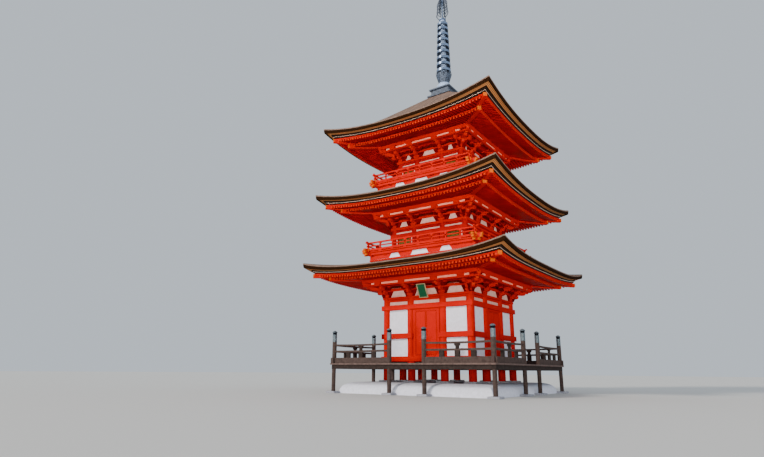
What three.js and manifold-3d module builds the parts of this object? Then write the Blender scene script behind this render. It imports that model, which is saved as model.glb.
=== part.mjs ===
// Three-storied bark-roofed pagoda, millimetres, +Z up, ground at z = 0, front face towards -Y.
import * as THREE from 'three';
import Module from 'manifold-3d';

const wasm = await Module();
wasm.setup();
const { Manifold, Mesh: SolidMesh } = wasm;

// Running clearance between a piece and the pocket or seat cut for it
const FIT = 0.3;

// Ground storey: half width to the pillar centres, inner pillars, and pillar size
const W1 = 1425;
const INNER1 = 552;
const PILLAR_R1 = 117.5;
const PILLAR_SIDES = 8;
const FLAT = Math.cos(Math.PI / PILLAR_SIDES);

// White plaster mound with stones for pillars and veranda posts
const MOUND = [[2450, 0], [2438, 90], [2390, 190], [2300, 268], [2190, 309], [2090, 320]];
const MOUND_TOP = 320;
const PILLAR_STONE = { half: 190, top: 372 };
const POST_STONE = { half: 160, top: 54 };

// Heights of the ground storey timbers
const FOOT_TIE = [726, 866];
const SILL_RAIL = [912, 1060];
const WAIST_RAIL = [1583, 1734];
const LINTEL_RAIL = [2446, 2590];
const HEAD_TIE = [2703, 2775];
const PLATE1 = [2775, 2844];
const RAIL_OUT = 135;
const RAIL_IN = 80;
const FOOT_IN = 95;
const WALL_HALF = 30;
const PLATE_OUT = 105;
const PLATE_IN = 75;
const TIE_HALF = 50;

// Floor of the ground storey room: half width and heights
const ROOM_FLOOR = { half: 1365, low: 866, high: 912 };

// Doors: leaf, frame and the gap that lets a leaf swing
const LEAF = { thick: 40, face: 70, edge: 368, low: 1090, high: 2386, gap: 4.5 };
const PIVOT = { inset: 10, depth: 8, r: 7 };
const FRAME = { inner: 376, outer: INNER1 - PILLAR_R1 * FLAT - FIT, face: 74, depth: 110, sill: 1084, head: 2392 };

// Veranda
const VERANDA_R = 2573;
const GATE = 565;
const VERANDA_FLOOR = { low: 806, high: 850, out: 2665 };
const VERANDA_BEAM = { low: 686, half: 50 };
const VERANDA_LEG_R = 62;
const VERANDA_TOP_RAIL = [1351, 1406];
const VERANDA_MID_RAIL = [1171, 1214];
const VERANDA_LOW_RAIL = [888, 1010];
const VERANDA_NOSE = 150;
const POST_R = 70;
const POST_PROFILE = [[70, 850], [70, 1702], [46, 1714], [46, 1734], [80, 1756], [58, 1786], [0, 1812]];

// Upper storeys: every height is counted from the waist base of its own storey
const UPPER = [
  { name: 'second', w: 1260, inner: 505, waist: 1811, rail: 1877, z: 4045, roof: 1 },
  { name: 'third', w: 1120, inner: 459, waist: 1659, rail: 1737, z: 6370, roof: 2 },
];
const U = {
  armLow: 50, floorLow: 195, floorHigh: 275,
  sill: [275, 345], lintel: [724, 845], strip: 915, plate: [985, 1068],
};
const PILLAR_R_UP = 92;

// Roofs: half width, middle edge height, slope terms, corner lift, its power and the rafters' share of it
const ROOFS = [
  { name: 'first', r: 3328, z: 3596, a: 0.2, b: 2.5e-5, lift: 268, p: 3.4, share: 0.6, wall: W1, purlin: 1960 },
  { name: 'second', r: 3114, z: 5785, a: 0.31, b: 1.5e-5, lift: 335, p: 2.5, share: 0.77, wall: 1260, purlin: 1741 },
  { name: 'third', r: 2987, z: 8100, a: 0.42, b: 1.55e-4, lift: 365, p: 2.4, share: 0.77, wall: 1120, purlin: 1621 },
];
const STRIP_LOW = [3196, 5419, 7751];
const PURLIN_LOW = [3298, 5521, 7853];
// Under the bark's edge: cut face, cedar layer and board line, as [inwards, down, more of the lift than the rafters]
const EDGE_LAYERS = [[8, 85, 0.2], [18, 112, 0.2], [165, 116, 0.1], [238, 142, 0.02]];
const FLY_END = 285;
const FLY_LOW = 265;
const FLY_HIGH = 165;
const FLY_RISE = 68;
const STEP_IN = 630;
const BASE_LOW = [292, 292, 335];
const COLUMNS = [-1, -0.88, -0.7, -0.4, 0, 0.4, 0.7, 0.88, 1];
const LIFT_ROOT = 0.45;

// Bracket sets: steps out from the wall plane
const ARM_HALF = 42;

// Spire
const SPIRE = { seat: 9990, plateLow: 10047, boxTop: 10250, plateTop: 10301, axisHalf: [450, 345, 400] };
const BOWL = [[0, 10301], [250, 10301], [250, 10330], [225, 10450], [205, 10560], [130, 10610], [140, 10640],
  [205, 10800], [300, 10975], [285, 11000], [0, 11000]];
const RING_Z = [11088, 11345, 11592, 11852, 12097, 12349, 12585, 12822, 13031];
const RING_R = [250, 190];
const SHAFT_R = 80;
const HUB_SHARE = 0.72;
const FLANGE_Z = 13246;
const FLAME = { low: 13290, high: 14330, half: 190, thick: 18 };
const POLE_R = 24;
const TIP = 15000;

// Materials
function paint(color, roughness, metalness) {
  return new THREE.MeshStandardMaterial({ color, roughness, metalness });
}
const vermilion = () => paint(0xd9300c, 0.5, 0);
const plaster = () => paint(0xdedee4, 0.9, 0);
const bark = () => paint(0x5c4638, 0.95, 0);
const darkWood = () => paint(0x4e4440, 0.85, 0);
const bronze = () => paint(0x4a5a6e, 0.4, 0.8);
const green = () => paint(0x0e6b3e, 0.5, 0);
const floorWood = () => paint(0x6a5648, 0.8, 0);

// Make one closed solid from points and triangles, facing out
function solid(points, tris) {
  let volume = 0;
  for (const [a, b, c] of tris) {
    const [p, q, r] = [points[a], points[b], points[c]];
    volume += p[0] * (q[1] * r[2] - q[2] * r[1]);
    volume += p[1] * (q[2] * r[0] - q[0] * r[2]);
    volume += p[2] * (q[0] * r[1] - q[1] * r[0]);
  }
  const faces = volume < 0 ? tris.map(([a, b, c]) => [a, c, b]) : tris;
  const mesh = new SolidMesh({
    numProp: 3,
    vertProperties: Float32Array.from(points.flat()),
    triVerts: Uint32Array.from(faces.flat()),
  });
  return new Manifold(mesh);
}

// Prism on a flat outline, put in place by a function of (u, v, w)
function prism(outline, w0, w1, place) {
  const n = outline.length;
  const flat = outline.map(([u, v]) => new THREE.Vector2(u, v));
  const caps = THREE.ShapeUtils.triangulateShape(flat, []);
  const points = [w0, w1].flatMap((w) => outline.map(([u, v]) => place(u, v, w)));
  const ccw = THREE.ShapeUtils.area(flat) > 0;
  const tris = [];
  for (const [a, b, c] of caps) {
    tris.push(ccw ? [a, c, b] : [a, b, c]);
    tris.push(ccw ? [n + a, n + b, n + c] : [n + a, n + c, n + b]);
  }
  for (let i = 0; i < n; i += 1) {
    const j = (i + 1) % n;
    const quad = [[i, j, n + j], [i, n + j, n + i]];
    for (const [a, b, c] of quad) {
      tris.push(ccw ? [a, b, c] : [a, c, b]);
    }
  }
  return solid(points, tris);
}
const upright = (u, v, w) => [u, v, w];
const box = (x0, x1, y0, y1, z0, z1) => prism([[x0, y0], [x1, y0], [x1, y1], [x0, y1]], z0, z1, upright);

// Round or many-sided post
function post(x, y, r, z0, z1, sides = PILLAR_SIDES) {
  const outline = [];
  for (let i = 0; i < sides; i += 1) {
    const a = (2 * Math.PI * (i + 0.5)) / sides;
    outline.push([x + r * Math.cos(a), y + r * Math.sin(a)]);
  }
  return prism(outline, z0, z1, upright);
}

// Turned piece about an upright axis; the profile starts and ends on the axis
function turned(profile, sides, x = 0, y = 0) {
  const points = [];
  const rows = profile.map(([r, z]) => {
    if (r === 0) {
      points.push([x, y, z]);
      return [points.length - 1];
    }
    const row = [];
    for (let i = 0; i < sides; i += 1) {
      const a = (2 * Math.PI * (i + 0.5)) / sides;
      points.push([x + r * Math.cos(a), y + r * Math.sin(a), z]);
      row.push(points.length - 1);
    }
    return row;
  });
  const tris = [];
  for (let j = 0; j + 1 < rows.length; j += 1) {
    for (let i = 0; i < sides; i += 1) {
      const k = (i + 1) % sides;
      const [p, q] = [rows[j], rows[j + 1]];
      if (p.length > 1) {
        tris.push([p[i], p[k], q[q.length > 1 ? k : 0]]);
      }
      if (q.length > 1) {
        tris.push([p[p.length > 1 ? i : 0], q[k], q[i]]);
      }
    }
  }
  return solid(points, tris);
}

const joined = (list) => Manifold.union(list);
const turn = (m, k) => m.rotate([0, 0, 90 * k]);
const around = (m) => joined([0, 1, 2, 3].map((k) => turn(m, k)));

// Square ring with an upright section, from half width r0 to r1
function ring(r0, r1, z0, z1) {
  return box(-r1, r1, -r1, r1, z0, z1).subtract(box(-r0, r0, -r0, r0, z0 - 1, z1 + 1));
}

// Sweep a closed section of (r, z, share of the lift) round a square, with the corners lifted
function squareSweep(section, lift) {
  const columns = [];
  for (let side = 0; side < 4; side += 1) {
    for (const t of COLUMNS.slice(0, -1)) {
      columns.push([side, t]);
    }
  }
  const points = [];
  const index = new Map();
  const at = (c, j) => {
    const [side, t] = columns[c % columns.length];
    const [r, z, share = 1] = section[j % section.length];
    let p = [r * t, -r, z + share * lift(r, Math.abs(t))];
    for (let k = 0; k < side; k += 1) {
      p = [-p[1], p[0], p[2]];
    }
    const key = p.map((v) => (v + 0).toFixed(4).replace('-0.0000', '0.0000')).join();
    if (!index.has(key)) {
      index.set(key, points.length);
      points.push(p);
    }
    return index.get(key);
  };
  const tris = [];
  const add = (a, b, c) => {
    if (a !== b && b !== c && c !== a) {
      tris.push([a, b, c]);
    }
  };
  for (let c = 0; c < columns.length; c += 1) {
    for (let j = 0; j < section.length; j += 1) {
      const [a, b, d, e] = [at(c, j), at(c + 1, j), at(c + 1, j + 1), at(c, j + 1)];
      const far = Math.abs(columns[c][1]) > Math.abs(columns[(c + 1) % columns.length][1]);
      const outer = section[j][0] > section[(j + 1) % section.length][0];
      if (far === outer) {
        add(a, b, d);
        add(a, d, e);
      } else {
        add(a, b, e);
        add(b, d, e);
      }
    }
  }
  return solid(points, tris);
}

// Pillar centres round a storey: corners first, then the two inner ones of each side
function pillarPlaces(w, inner) {
  const places = [];
  for (const [x, y] of [[w, -w], [inner, -w], [-inner, -w]]) {
    let p = [x, y];
    for (let k = 0; k < 4; k += 1) {
      places.push(p);
      p = [-p[1], p[0]];
    }
  }
  return places;
}

// Roof lines: top of the bark and the top and bottom of the rafters, at half width r
const barkTop = (f, r) => {
  const d = f.r - r;
  return f.z + f.a * d + f.b * d * d;
};
function roofLift(f) {
  const root = f.r * LIFT_ROOT;
  return (r, t) => {
    const g = Math.max(0, (r - root) / (f.r - root));
    return f.lift * t ** f.p * g * g;
  };
}

// Rafter lines: underside and top, from the end of the flying rafters inwards
const PURLIN_TALL = 97;
const PURLIN_HALF = 50;
function rafterLines(f, k) {
  const end = f.r - FLY_END;
  const step = f.r - STEP_IN;
  const low = PURLIN_LOW[k] + PURLIN_TALL;
  const baseLow = f.z - BASE_LOW[k];
  const slope = (low - baseLow) / (step - f.purlin);
  const under = (r) => low + slope * (f.purlin - r);
  const inner = f.wall - 170;
  const shelf = f.wall + 5;
  const mid = step - 260;
  const stepTop = f.z - FLY_HIGH + (slope + 0.03) * (end - step);
  const over = (r) => stepTop + (slope + 0.07) * (step - r);
  const bottom = [[end, f.z - FLY_LOW], [step, f.z - FLY_LOW + FLY_RISE], [step - 10, baseLow]];
  for (const r of [f.purlin + PURLIN_HALF, f.purlin - PURLIN_HALF, inner]) {
    bottom.push([r, under(r)]);
  }
  const top = [[end, f.z - FLY_HIGH], [step, stepTop], [mid, over(mid)], [shelf, over(shelf)]];
  for (const point of [...bottom, ...top]) {
    point.push(f.share);
  }
  return { inner, shelf, under, bottom, top };
}

// Two tiers of rafters as one layer, with a flat shelf inside for the storey above
function rafterLayer(f, k) {
  const lines = rafterLines(f, k);
  const shelfTop = lines.top[3][1];
  const section = [...lines.bottom, [lines.inner, shelfTop, f.share], ...[...lines.top].reverse()];
  return squareSweep(section, roofLift(f));
}

// Layers under the bark's edge, from the cut face inwards
function edgeLayers(f) {
  return EDGE_LAYERS.map(([inwards, down, more]) => [f.r - inwards, f.z - down, f.share + more]);
}

// Lower two roofs: bark, boards and packing, open in the middle for the next storey
function ringRoof(f, k) {
  const lines = rafterLines(f, k);
  const inside = lines.shelf + FIT;
  const section = [[f.r, f.z]];
  for (const r of [f.r - 420, f.r - 900, f.r - 1400, inside]) {
    section.push([r, barkTop(f, r)]);
  }
  const seat = lines.top.map(([r, z]) => [r, z + FIT, f.share]);
  seat[3][0] = inside;
  section.push(...[...edgeLayers(f), ...seat].reverse());
  return squareSweep(section, roofLift(f));
}

// Top roof: a shell over an open roof space, closed by the seat of the spire
const STEEP_FROM = 1637;
const SHELL = 330;
const ROOF_SPACE_TOP = 9700;
function topRoof(f, k) {
  const lines = rafterLines(f, k);
  const steep = f.a + 2 * f.b * (f.r - STEEP_FROM);
  const start = barkTop(f, STEEP_FROM);
  const seatHalf = STEEP_FROM - (SPIRE.seat - start) / steep;
  const section = [[0, SPIRE.seat], [seatHalf, SPIRE.seat]];
  for (const r of [STEEP_FROM, f.r - 900, f.r - 420, f.r]) {
    section.push([r, barkTop(f, r)]);
  }
  section.push(...edgeLayers(f));
  for (const [r, z] of lines.top.slice(0, 3)) {
    section.push([r, z + FIT, f.share]);
  }
  section.push([f.r - 1090, barkTop(f, f.r - 1090) - SHELL], [f.r - 1490, barkTop(f, f.r - 1490) - SHELL]);
  section.push([seatHalf, ROOF_SPACE_TOP], [0, ROOF_SPACE_TOP]);
  return squareSweep(section, roofLift(f));
}

// Bracket sets: plate, big blocks, stepped arms, the wall between them and the purlin
const STACK = [96, 221, 346, 454];
function brackets(f, k, inner, plateLow, plateTop) {
  const scale = (PURLIN_LOW[k] - plateTop) / STACK[3];
  const [arm1, arm2, arm3, top] = STACK.map((h) => plateTop + h * scale);
  const step = (f.purlin - f.wall) / 3;
  const w = f.wall;
  const reach = [w + step + 55, w + 3 * step + 45];
  const stairs = (m) => [[w * m, arm1], [reach[0] * m, arm1], [reach[0] * m, arm2],
    [reach[1] * m, arm3], [reach[1] * m, top - 5], [w * m, top - 5]];
  const lines = rafterLines(f, k);
  const parts = [ring(w - PLATE_IN, w + PLATE_OUT, plateLow, plateTop)];
  parts.push(ring(w - 40, w + 40, plateTop, lines.under(w + 40) - FIT));
  for (const [x, y] of pillarPlaces(w, inner)) {
    parts.push(box(x - 100, x + 100, y - 100, y + 100, plateTop, arm1));
  }
  for (const x of [-w, -inner, inner, w]) {
    parts.push(around(prism(stairs(1), x - ARM_HALF, x + ARM_HALF, (u, v, t) => [t, -u, v])));
  }
  const c = Math.SQRT1_2;
  const slant = (u, v, t) => [(u + t) * c, (t - u) * c, v];
  parts.push(around(prism(stairs(Math.SQRT2), -ARM_HALF, ARM_HALF, slant)));
  const [r0, r1] = [f.purlin - PURLIN_HALF, f.purlin + PURLIN_HALF];
  parts.push(squareSweep([[r0, STRIP_LOW[k]], [r1, STRIP_LOW[k]], [r1, lines.under(r1) - FIT],
    [r0, lines.under(r0) - FIT]].map((point) => [...point, f.share]), roofLift(f)));
  return joined(parts);
}

// Ground storey
function mound() {
  const stones = [squareSweep([[0, 0], ...MOUND, [0, MOUND_TOP]], () => 0)];
  for (const [x, y] of pillarPlaces(W1, INNER1)) {
    const h = PILLAR_STONE.half;
    stones.push(box(x - h, x + h, y - h, y + h, MOUND_TOP - 20, PILLAR_STONE.top));
  }
  for (const [x, y] of pillarPlaces(VERANDA_R, GATE)) {
    const h = POST_STONE.half;
    stones.push(box(x - h, x + h, y - h, y + h, 0, POST_STONE.top));
  }
  return joined(stones);
}

function pillars(w, inner, r, z0, z1) {
  return joined(pillarPlaces(w, inner).map(([x, y]) => post(x, y, r, z0, z1)));
}

function groundBand(grow = 0) {
  return ring(W1 - WALL_HALF - grow, W1 + WALL_HALF + grow, LINTEL_RAIL[1], HEAD_TIE[0]);
}

function groundFrame() {
  const parts = [pillars(W1, INNER1, PILLAR_R1, PILLAR_STONE.top, PLATE1[0])];
  parts.push(ring(W1 - FOOT_IN, W1 + PILLAR_R1, ...FOOT_TIE));
  parts.push(ring(W1 - RAIL_IN, W1 + RAIL_OUT, ...SILL_RAIL));
  parts.push(ring(W1 - RAIL_IN, W1 + RAIL_OUT, ...LINTEL_RAIL));
  parts.push(ring(W1 - TIE_HALF, W1 + TIE_HALF, ...HEAD_TIE));
  const out = W1 + RAIL_OUT;
  const back = W1 + WALL_HALF + FIT;
  const end = INNER1 - PILLAR_R1 * FLAT;
  const front = box(end, out, -out, -back, ...WAIST_RAIL);
  const side = box(back, out, -out, -end, ...WAIST_RAIL);
  parts.push(around(front.add(side)));
  return joined(parts).subtract(groundBand(FIT));
}

// Floor of the room, notched round the pillars
function roomFloor() {
  const { half, low, high } = ROOM_FLOOR;
  return box(-half, half, -half, half, low, high).subtract(pillars(W1, INNER1, PILLAR_R1 + FIT, low - 1, high + 1));
}

function groundPanel(side, sign) {
  const x0 = INNER1 + PILLAR_R1 * FLAT + FIT;
  const x1 = W1 - PILLAR_R1 * FLAT - FIT;
  const ends = sign > 0 ? [x0, x1] : [-x1, -x0];
  return turn(box(...ends, -W1 - WALL_HALF, -W1 + WALL_HALF, SILL_RAIL[1], LINTEL_RAIL[0]), side);
}

function doorFrame(side) {
  const [y0, y1] = [-W1 - FRAME.face, -W1 - FRAME.face + FRAME.depth];
  const outer = box(-FRAME.outer, FRAME.outer, y0, y1, SILL_RAIL[1], LINTEL_RAIL[0]);
  const hole = box(-FRAME.inner, FRAME.inner, y0 - 1, y1 + 1, FRAME.sill, FRAME.head);
  return turn(outer.subtract(hole), side);
}

function doorLeaf(side, sign) {
  const [y0, y1] = [-W1 - LEAF.face, -W1 - LEAF.face + LEAF.thick];
  const ends = sign > 0 ? [LEAF.gap, LEAF.edge] : [-LEAF.edge, -LEAF.gap];
  const leaf = box(...ends, y0, y1, LEAF.low, LEAF.high);
  const [px, py] = [sign * (LEAF.edge - PIVOT.inset), y0 + PIVOT.depth];
  const foot = post(px, py, PIVOT.r, FRAME.sill + FIT, LEAF.low + 10, 8);
  const head = post(px, py, PIVOT.r, LEAF.high - 10, FRAME.head - FIT, 8);
  return turn(joined([leaf, foot, head]), side);
}

function closedDoors(side) {
  const [y0, y1] = [-W1 - LEAF.face, -W1 - LEAF.face + LEAF.thick];
  const half = FRAME.inner - FIT;
  const pair = box(-half, half, y0, y1, FRAME.sill, FRAME.head);
  const groove = box(-LEAF.gap, LEAF.gap, y0 - 1, y0 + 12, FRAME.sill - 1, FRAME.head + 1);
  return turn(pair.subtract(groove), side);
}

// Name board of the front bay, bare, leaning forward on two cleats that bear against the plate
const PLAQUE = { half: 165, tall: 466, thick: 36, lean: 0.475, y: -1574, z: 2758 };
const CLEAT = { near: 80, far: 110, out: 1600, low: 2780, high: 2840 };
function plaque() {
  const { half, tall, thick, lean, y, z } = PLAQUE;
  const [s, c] = [Math.sin(lean), Math.cos(lean)];
  const place = (u, v, w) => [u, y - v * s - w * c, z + v * c - w * s];
  const parts = [prism([[-half, 0], [half, 0], [half, tall], [-half, tall]], 0, thick, place)];
  for (const [x0, x1] of [[CLEAT.near, CLEAT.far], [-CLEAT.far, -CLEAT.near]]) {
    parts.push(box(x0, x1, -CLEAT.out, -W1 - PLATE_OUT - FIT, CLEAT.low, CLEAT.high));
  }
  return joined(parts);
}

// Veranda
function verandaFrame() {
  const { low, half } = VERANDA_BEAM;
  const parts = [ring(VERANDA_R - half, VERANDA_R + half, low, VERANDA_FLOOR.low)];
  for (const [x, y] of pillarPlaces(VERANDA_R, GATE)) {
    parts.push(post(x, y, VERANDA_LEG_R, POST_STONE.top, low + 10, 8));
  }
  for (const x of [-GATE, GATE]) {
    parts.push(around(box(x - 45, x + 45, -VERANDA_R, -W1 - PILLAR_R1 - FIT, low, VERANDA_FLOOR.low)));
  }
  return joined(parts);
}

function verandaFloor() {
  return ring(W1 + PILLAR_R1 + 2, VERANDA_FLOOR.out, VERANDA_FLOOR.low, VERANDA_FLOOR.high);
}

// One corner of the veranda railing with its corner post and two gate posts
const STRUTS = [0.27, 0.5, 0.73];
const verandaPost = (x, y) => turned([[0, VERANDA_FLOOR.high], ...POST_PROFILE], 8, x, y);
function railingSide(place) {
  const r = VERANDA_R;
  const bar = (x0, x1, h, z) => prism([[x0, -r - h], [x1, -r - h], [x1, -r + h], [x0, -r + h]], ...z, place);
  const list = [bar(GATE, r + VERANDA_NOSE, 42, VERANDA_LOW_RAIL)];
  list.push(bar(GATE, r, 20, VERANDA_MID_RAIL), bar(GATE, r, 26, VERANDA_TOP_RAIL));
  for (const s of STRUTS) {
    const x = GATE + (r - GATE) * s;
    list.push(bar(x - 55, x + 55, 18, [VERANDA_LOW_RAIL[1] - 5, VERANDA_MID_RAIL[0] + 5]));
  }
  const x = GATE + (r - GATE) * STRUTS[1];
  list.push(bar(x - 30, x + 30, 18, [VERANDA_MID_RAIL[1] - 5, VERANDA_TOP_RAIL[0] + 5]));
  return list;
}
function verandaRailing(side) {
  const r = VERANDA_R;
  const parts = [verandaPost(r, -r), verandaPost(GATE, -r), verandaPost(r, -GATE)];
  parts.push(...railingSide(upright), ...railingSide((u, v, w) => [-v, -u, w]));
  return turn(joined(parts), side);
}

// Upper storeys
function waistFrame(u, k) {
  const lines = rafterLines(ROOFS[k], k);
  const top = u.z + U.floorLow;
  const parts = [ring(u.w - 105, lines.shelf, lines.top[3][1], top)];
  parts.push(ring(u.waist - 22, u.waist + 22, u.z - 55, top));
  for (const x of [-u.w, -u.inner, u.inner, u.w]) {
    const arm = box(x - ARM_HALF, x + ARM_HALF, -u.waist - 36, -lines.shelf + 20, u.z + U.armLow, top);
    parts.push(around(arm));
  }
  return joined(parts);
}

const BALCONY = { low: [270, 345], top: [525, 565], nose: 230, struts: 4 };
function balcony(u) {
  const parts = [ring(u.w + 110 + FIT, u.rail + 60, u.z + U.floorLow, u.z + U.floorHigh)];
  const r = u.rail;
  const bar = (x0, x1, h, z0, z1) => box(x0, x1, -r - h, -r + h, u.z + z0, u.z + z1);
  const side = [bar(-r - BALCONY.nose, r + BALCONY.nose, 35, ...BALCONY.low)];
  side.push(bar(-r - 170, r + 170, 20, ...BALCONY.top));
  for (let i = 0; i <= BALCONY.struts; i += 1) {
    const x = -r + (2 * r * i) / BALCONY.struts;
    side.push(bar(x - 22, x + 22, 18, BALCONY.low[1] - 5, BALCONY.top[0] + 5));
  }
  parts.push(around(joined(side)));
  return joined(parts);
}

function wallRing(u, grow) {
  return ring(u.w - WALL_HALF - grow, u.w + WALL_HALF + grow, u.z + U.floorLow, u.z + U.strip);
}

function upperWalls(u) {
  const mid = (u.w + u.inner) / 2;
  const half = (u.w - u.inner) / 2 - PILLAR_R_UP - 70;
  const [z0, z1] = [u.z + U.sill[1], u.z + U.lintel[0]];
  const cuts = [-mid, mid].map((x) => around(box(x - half, x + half, -u.w - 50, -u.w + 50, z0, z1)));
  return wallRing(u, 0).subtract(joined(cuts));
}

function upperFrame(u) {
  const z = (h) => u.z + h;
  const parts = [pillars(u.w, u.inner, PILLAR_R_UP, z(U.floorLow), z(U.plate[0]))];
  parts.push(ring(u.w + WALL_HALF, u.w + 110, z(U.floorLow), z(U.sill[1])));
  parts.push(ring(u.w + WALL_HALF, u.w + 110, z(U.lintel[0]), z(U.lintel[1])));
  parts.push(ring(u.w - 45, u.w + 45, z(U.strip), z(U.plate[0])));
  const half = u.inner - PILLAR_R_UP + 10;
  parts.push(around(box(-half, half, -u.w - 70, -u.w - WALL_HALF, z(U.sill[1]) - 5, z(U.lintel[0]) + 5)));
  return joined(parts).subtract(wallRing(u, FIT));
}

// Spire
function spireBase() {
  const [low, mid, top] = SPIRE.axisHalf;
  return joined([
    box(-low, low, -low, low, SPIRE.seat, SPIRE.plateLow),
    box(-mid, mid, -mid, mid, SPIRE.plateLow - 5, SPIRE.boxTop + 5),
    box(-top, top, -top, top, SPIRE.boxTop, SPIRE.plateTop),
  ]);
}

function spireRings() {
  const foot = BOWL[10][1];
  const profile = [[0, foot], [SHAFT_R + 30, foot], [SHAFT_R, foot + 40]];
  RING_Z.forEach((z, i) => {
    const r = RING_R[0] + ((RING_R[1] - RING_R[0]) * i) / (RING_Z.length - 1);
    profile.push([SHAFT_R, z - 30], [r, z - 28], [r, z + 18], [r * HUB_SHARE, z + 22]);
    profile.push([SHAFT_R + 25, z + 75], [SHAFT_R, z + 118]);
  });
  profile.push([SHAFT_R, FLANGE_Z - 20], [130, FLANGE_Z - 20], [130, FLANGE_Z + 10], [40, FLANGE_Z + 44]);
  profile.push([0, FLANGE_Z + 44]);
  return turned(profile, 10);
}

function spireFlame() {
  const { low, high, half, thick } = FLAME;
  const t = thick / 2;
  const outline = [[-60, low + 60], [60, low + 60], [half, low + 260], [half * 0.75, low + 480], [half, low + 700],
    [30, high], [-30, high], [-half, low + 700], [-half * 0.75, low + 480], [-half, low + 260]];
  const wing = prism(outline, -t, t, (u, v, w) => [u, w, v]);
  return joined([wing, turn(wing, 1), post(0, 0, POLE_R, low, 14420, 8)]);
}

function spireJewels() {
  return turned([[0, 14420], [60, 14430], [95, 14490], [60, 14560], [30, 14590], [30, 14640], [90, 14690],
    [110, 14770], [70, 14880], [0, TIP]], 12);
}

const group = new THREE.Group();
function add(name, body, material) {
  const data = body.asOriginal().simplify(0.001).getMesh();
  const welded = new THREE.BufferGeometry();
  welded.setAttribute('position', new THREE.BufferAttribute(new Float32Array(data.vertProperties), 3));
  welded.setIndex(new THREE.BufferAttribute(new Uint32Array(data.triVerts), 1));
  const geometry = welded.toNonIndexed();
  geometry.computeVertexNormals();
  const mesh = new THREE.Mesh(geometry, material);
  mesh.name = name;
  group.add(mesh);
}

const SIDES = ['front', 'right', 'rear', 'left'];
const CORNERS = ['front_right', 'rear_right', 'rear_left', 'front_left'];
add('plaster_mound', mound(), plaster());
add('veranda_frame', verandaFrame(), darkWood());
add('veranda_floor', verandaFloor(), darkWood());
CORNERS.forEach((name, k) => add(`veranda_railing_${name}`, verandaRailing(k), darkWood()));
add('ground_floor', roomFloor(), floorWood());
add('ground_frame', groundFrame(), vermilion());
add('ground_wall_band', groundBand(), plaster());
SIDES.forEach((name, k) => {
  add(`${name}_wall_panel_1`, groundPanel(k, -1), plaster());
  add(`${name}_wall_panel_2`, groundPanel(k, 1), plaster());
  add(`${name}_door_frame`, doorFrame(k), vermilion());
});
add('front_door_left', doorLeaf(0, -1), vermilion());
add('front_door_right', doorLeaf(0, 1), vermilion());
add('right_door_front', doorLeaf(1, -1), vermilion());
add('right_door_rear', doorLeaf(1, 1), vermilion());
add('rear_doors', closedDoors(2), vermilion());
add('left_doors', closedDoors(3), vermilion());
add('plaque', plaque(), green());
add('ground_brackets', brackets(ROOFS[0], 0, INNER1, ...PLATE1), vermilion());
add('first_rafters', rafterLayer(ROOFS[0], 0), vermilion());
add('first_roof', ringRoof(ROOFS[0], 0), bark());
UPPER.forEach((u) => {
  const f = ROOFS[u.roof];
  add(`${u.name}_waist_frame`, waistFrame(u, u.roof - 1), vermilion());
  add(`${u.name}_balcony`, balcony(u), vermilion());
  add(`${u.name}_frame`, upperFrame(u), vermilion());
  add(`${u.name}_walls`, upperWalls(u), plaster());
  add(`${u.name}_brackets`, brackets(f, u.roof, u.inner, u.z + U.plate[0], u.z + U.plate[1]), vermilion());
  add(`${u.name}_rafters`, rafterLayer(f, u.roof), vermilion());
  add(`${u.name}_roof`, u.roof === 1 ? ringRoof(f, 1) : topRoof(f, 2), bark());
});
add('spire_base', spireBase(), bronze());
add('spire_bowl', turned(BOWL, 16), bronze());
add('spire_rings', spireRings(), bronze());
add('spire_flame', spireFlame(), bronze());
add('spire_jewels', spireJewels(), bronze());

export default group;
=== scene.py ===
"""Three-storied bark-roofed pagoda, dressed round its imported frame. Metres, +Z up, front face towards -Y."""

import math
from collections import namedtuple

import bmesh
import bpy
from bpy.props import FloatProperty, FloatVectorProperty, IntProperty, PointerProperty
from bpy.types import Operator, Panel, PropertyGroup
from mathutils import Matrix, Vector


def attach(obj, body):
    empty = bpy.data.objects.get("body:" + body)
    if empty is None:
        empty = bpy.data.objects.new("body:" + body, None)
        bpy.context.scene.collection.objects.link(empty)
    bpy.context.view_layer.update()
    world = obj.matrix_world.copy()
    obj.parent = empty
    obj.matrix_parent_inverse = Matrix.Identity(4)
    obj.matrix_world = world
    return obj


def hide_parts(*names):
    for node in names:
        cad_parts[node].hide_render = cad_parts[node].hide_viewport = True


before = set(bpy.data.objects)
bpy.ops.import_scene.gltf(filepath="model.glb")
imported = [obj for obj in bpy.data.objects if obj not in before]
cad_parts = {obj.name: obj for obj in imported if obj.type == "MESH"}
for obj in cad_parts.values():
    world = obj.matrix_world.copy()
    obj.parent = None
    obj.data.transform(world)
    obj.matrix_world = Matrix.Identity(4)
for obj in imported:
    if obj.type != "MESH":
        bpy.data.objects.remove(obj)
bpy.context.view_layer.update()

bl_info = {
    "name": "Three-storied pagoda",
    "version": (1, 0, 0),
    "blender": (4, 5, 0),
    "location": "View3D > Sidebar > Pagoda",
    "description": "Builds a vermilion pagoda with bark roofs piece by piece",
    "category": "Object",
}

SIDES = ("front", "right", "rear", "left")
CORNERS = ("front_right", "rear_right", "rear_left", "front_left")
RIGHT_ANGLE = math.pi / 2

# Ground: the mound's rounded rim as half width and height, and the tops of the stones
MOUND_TOP = 0.32
MOUND_RIM = ((2.45, 0.0), (2.449, 0.05), (2.438, 0.11), (2.41, 0.17), (2.366, 0.222), (2.3, 0.266),
             (2.2, 0.3), (2.09, 0.316), (2.0, MOUND_TOP))
STONE_TOP = 0.372
POST_STONE_TOP = 0.054

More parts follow.
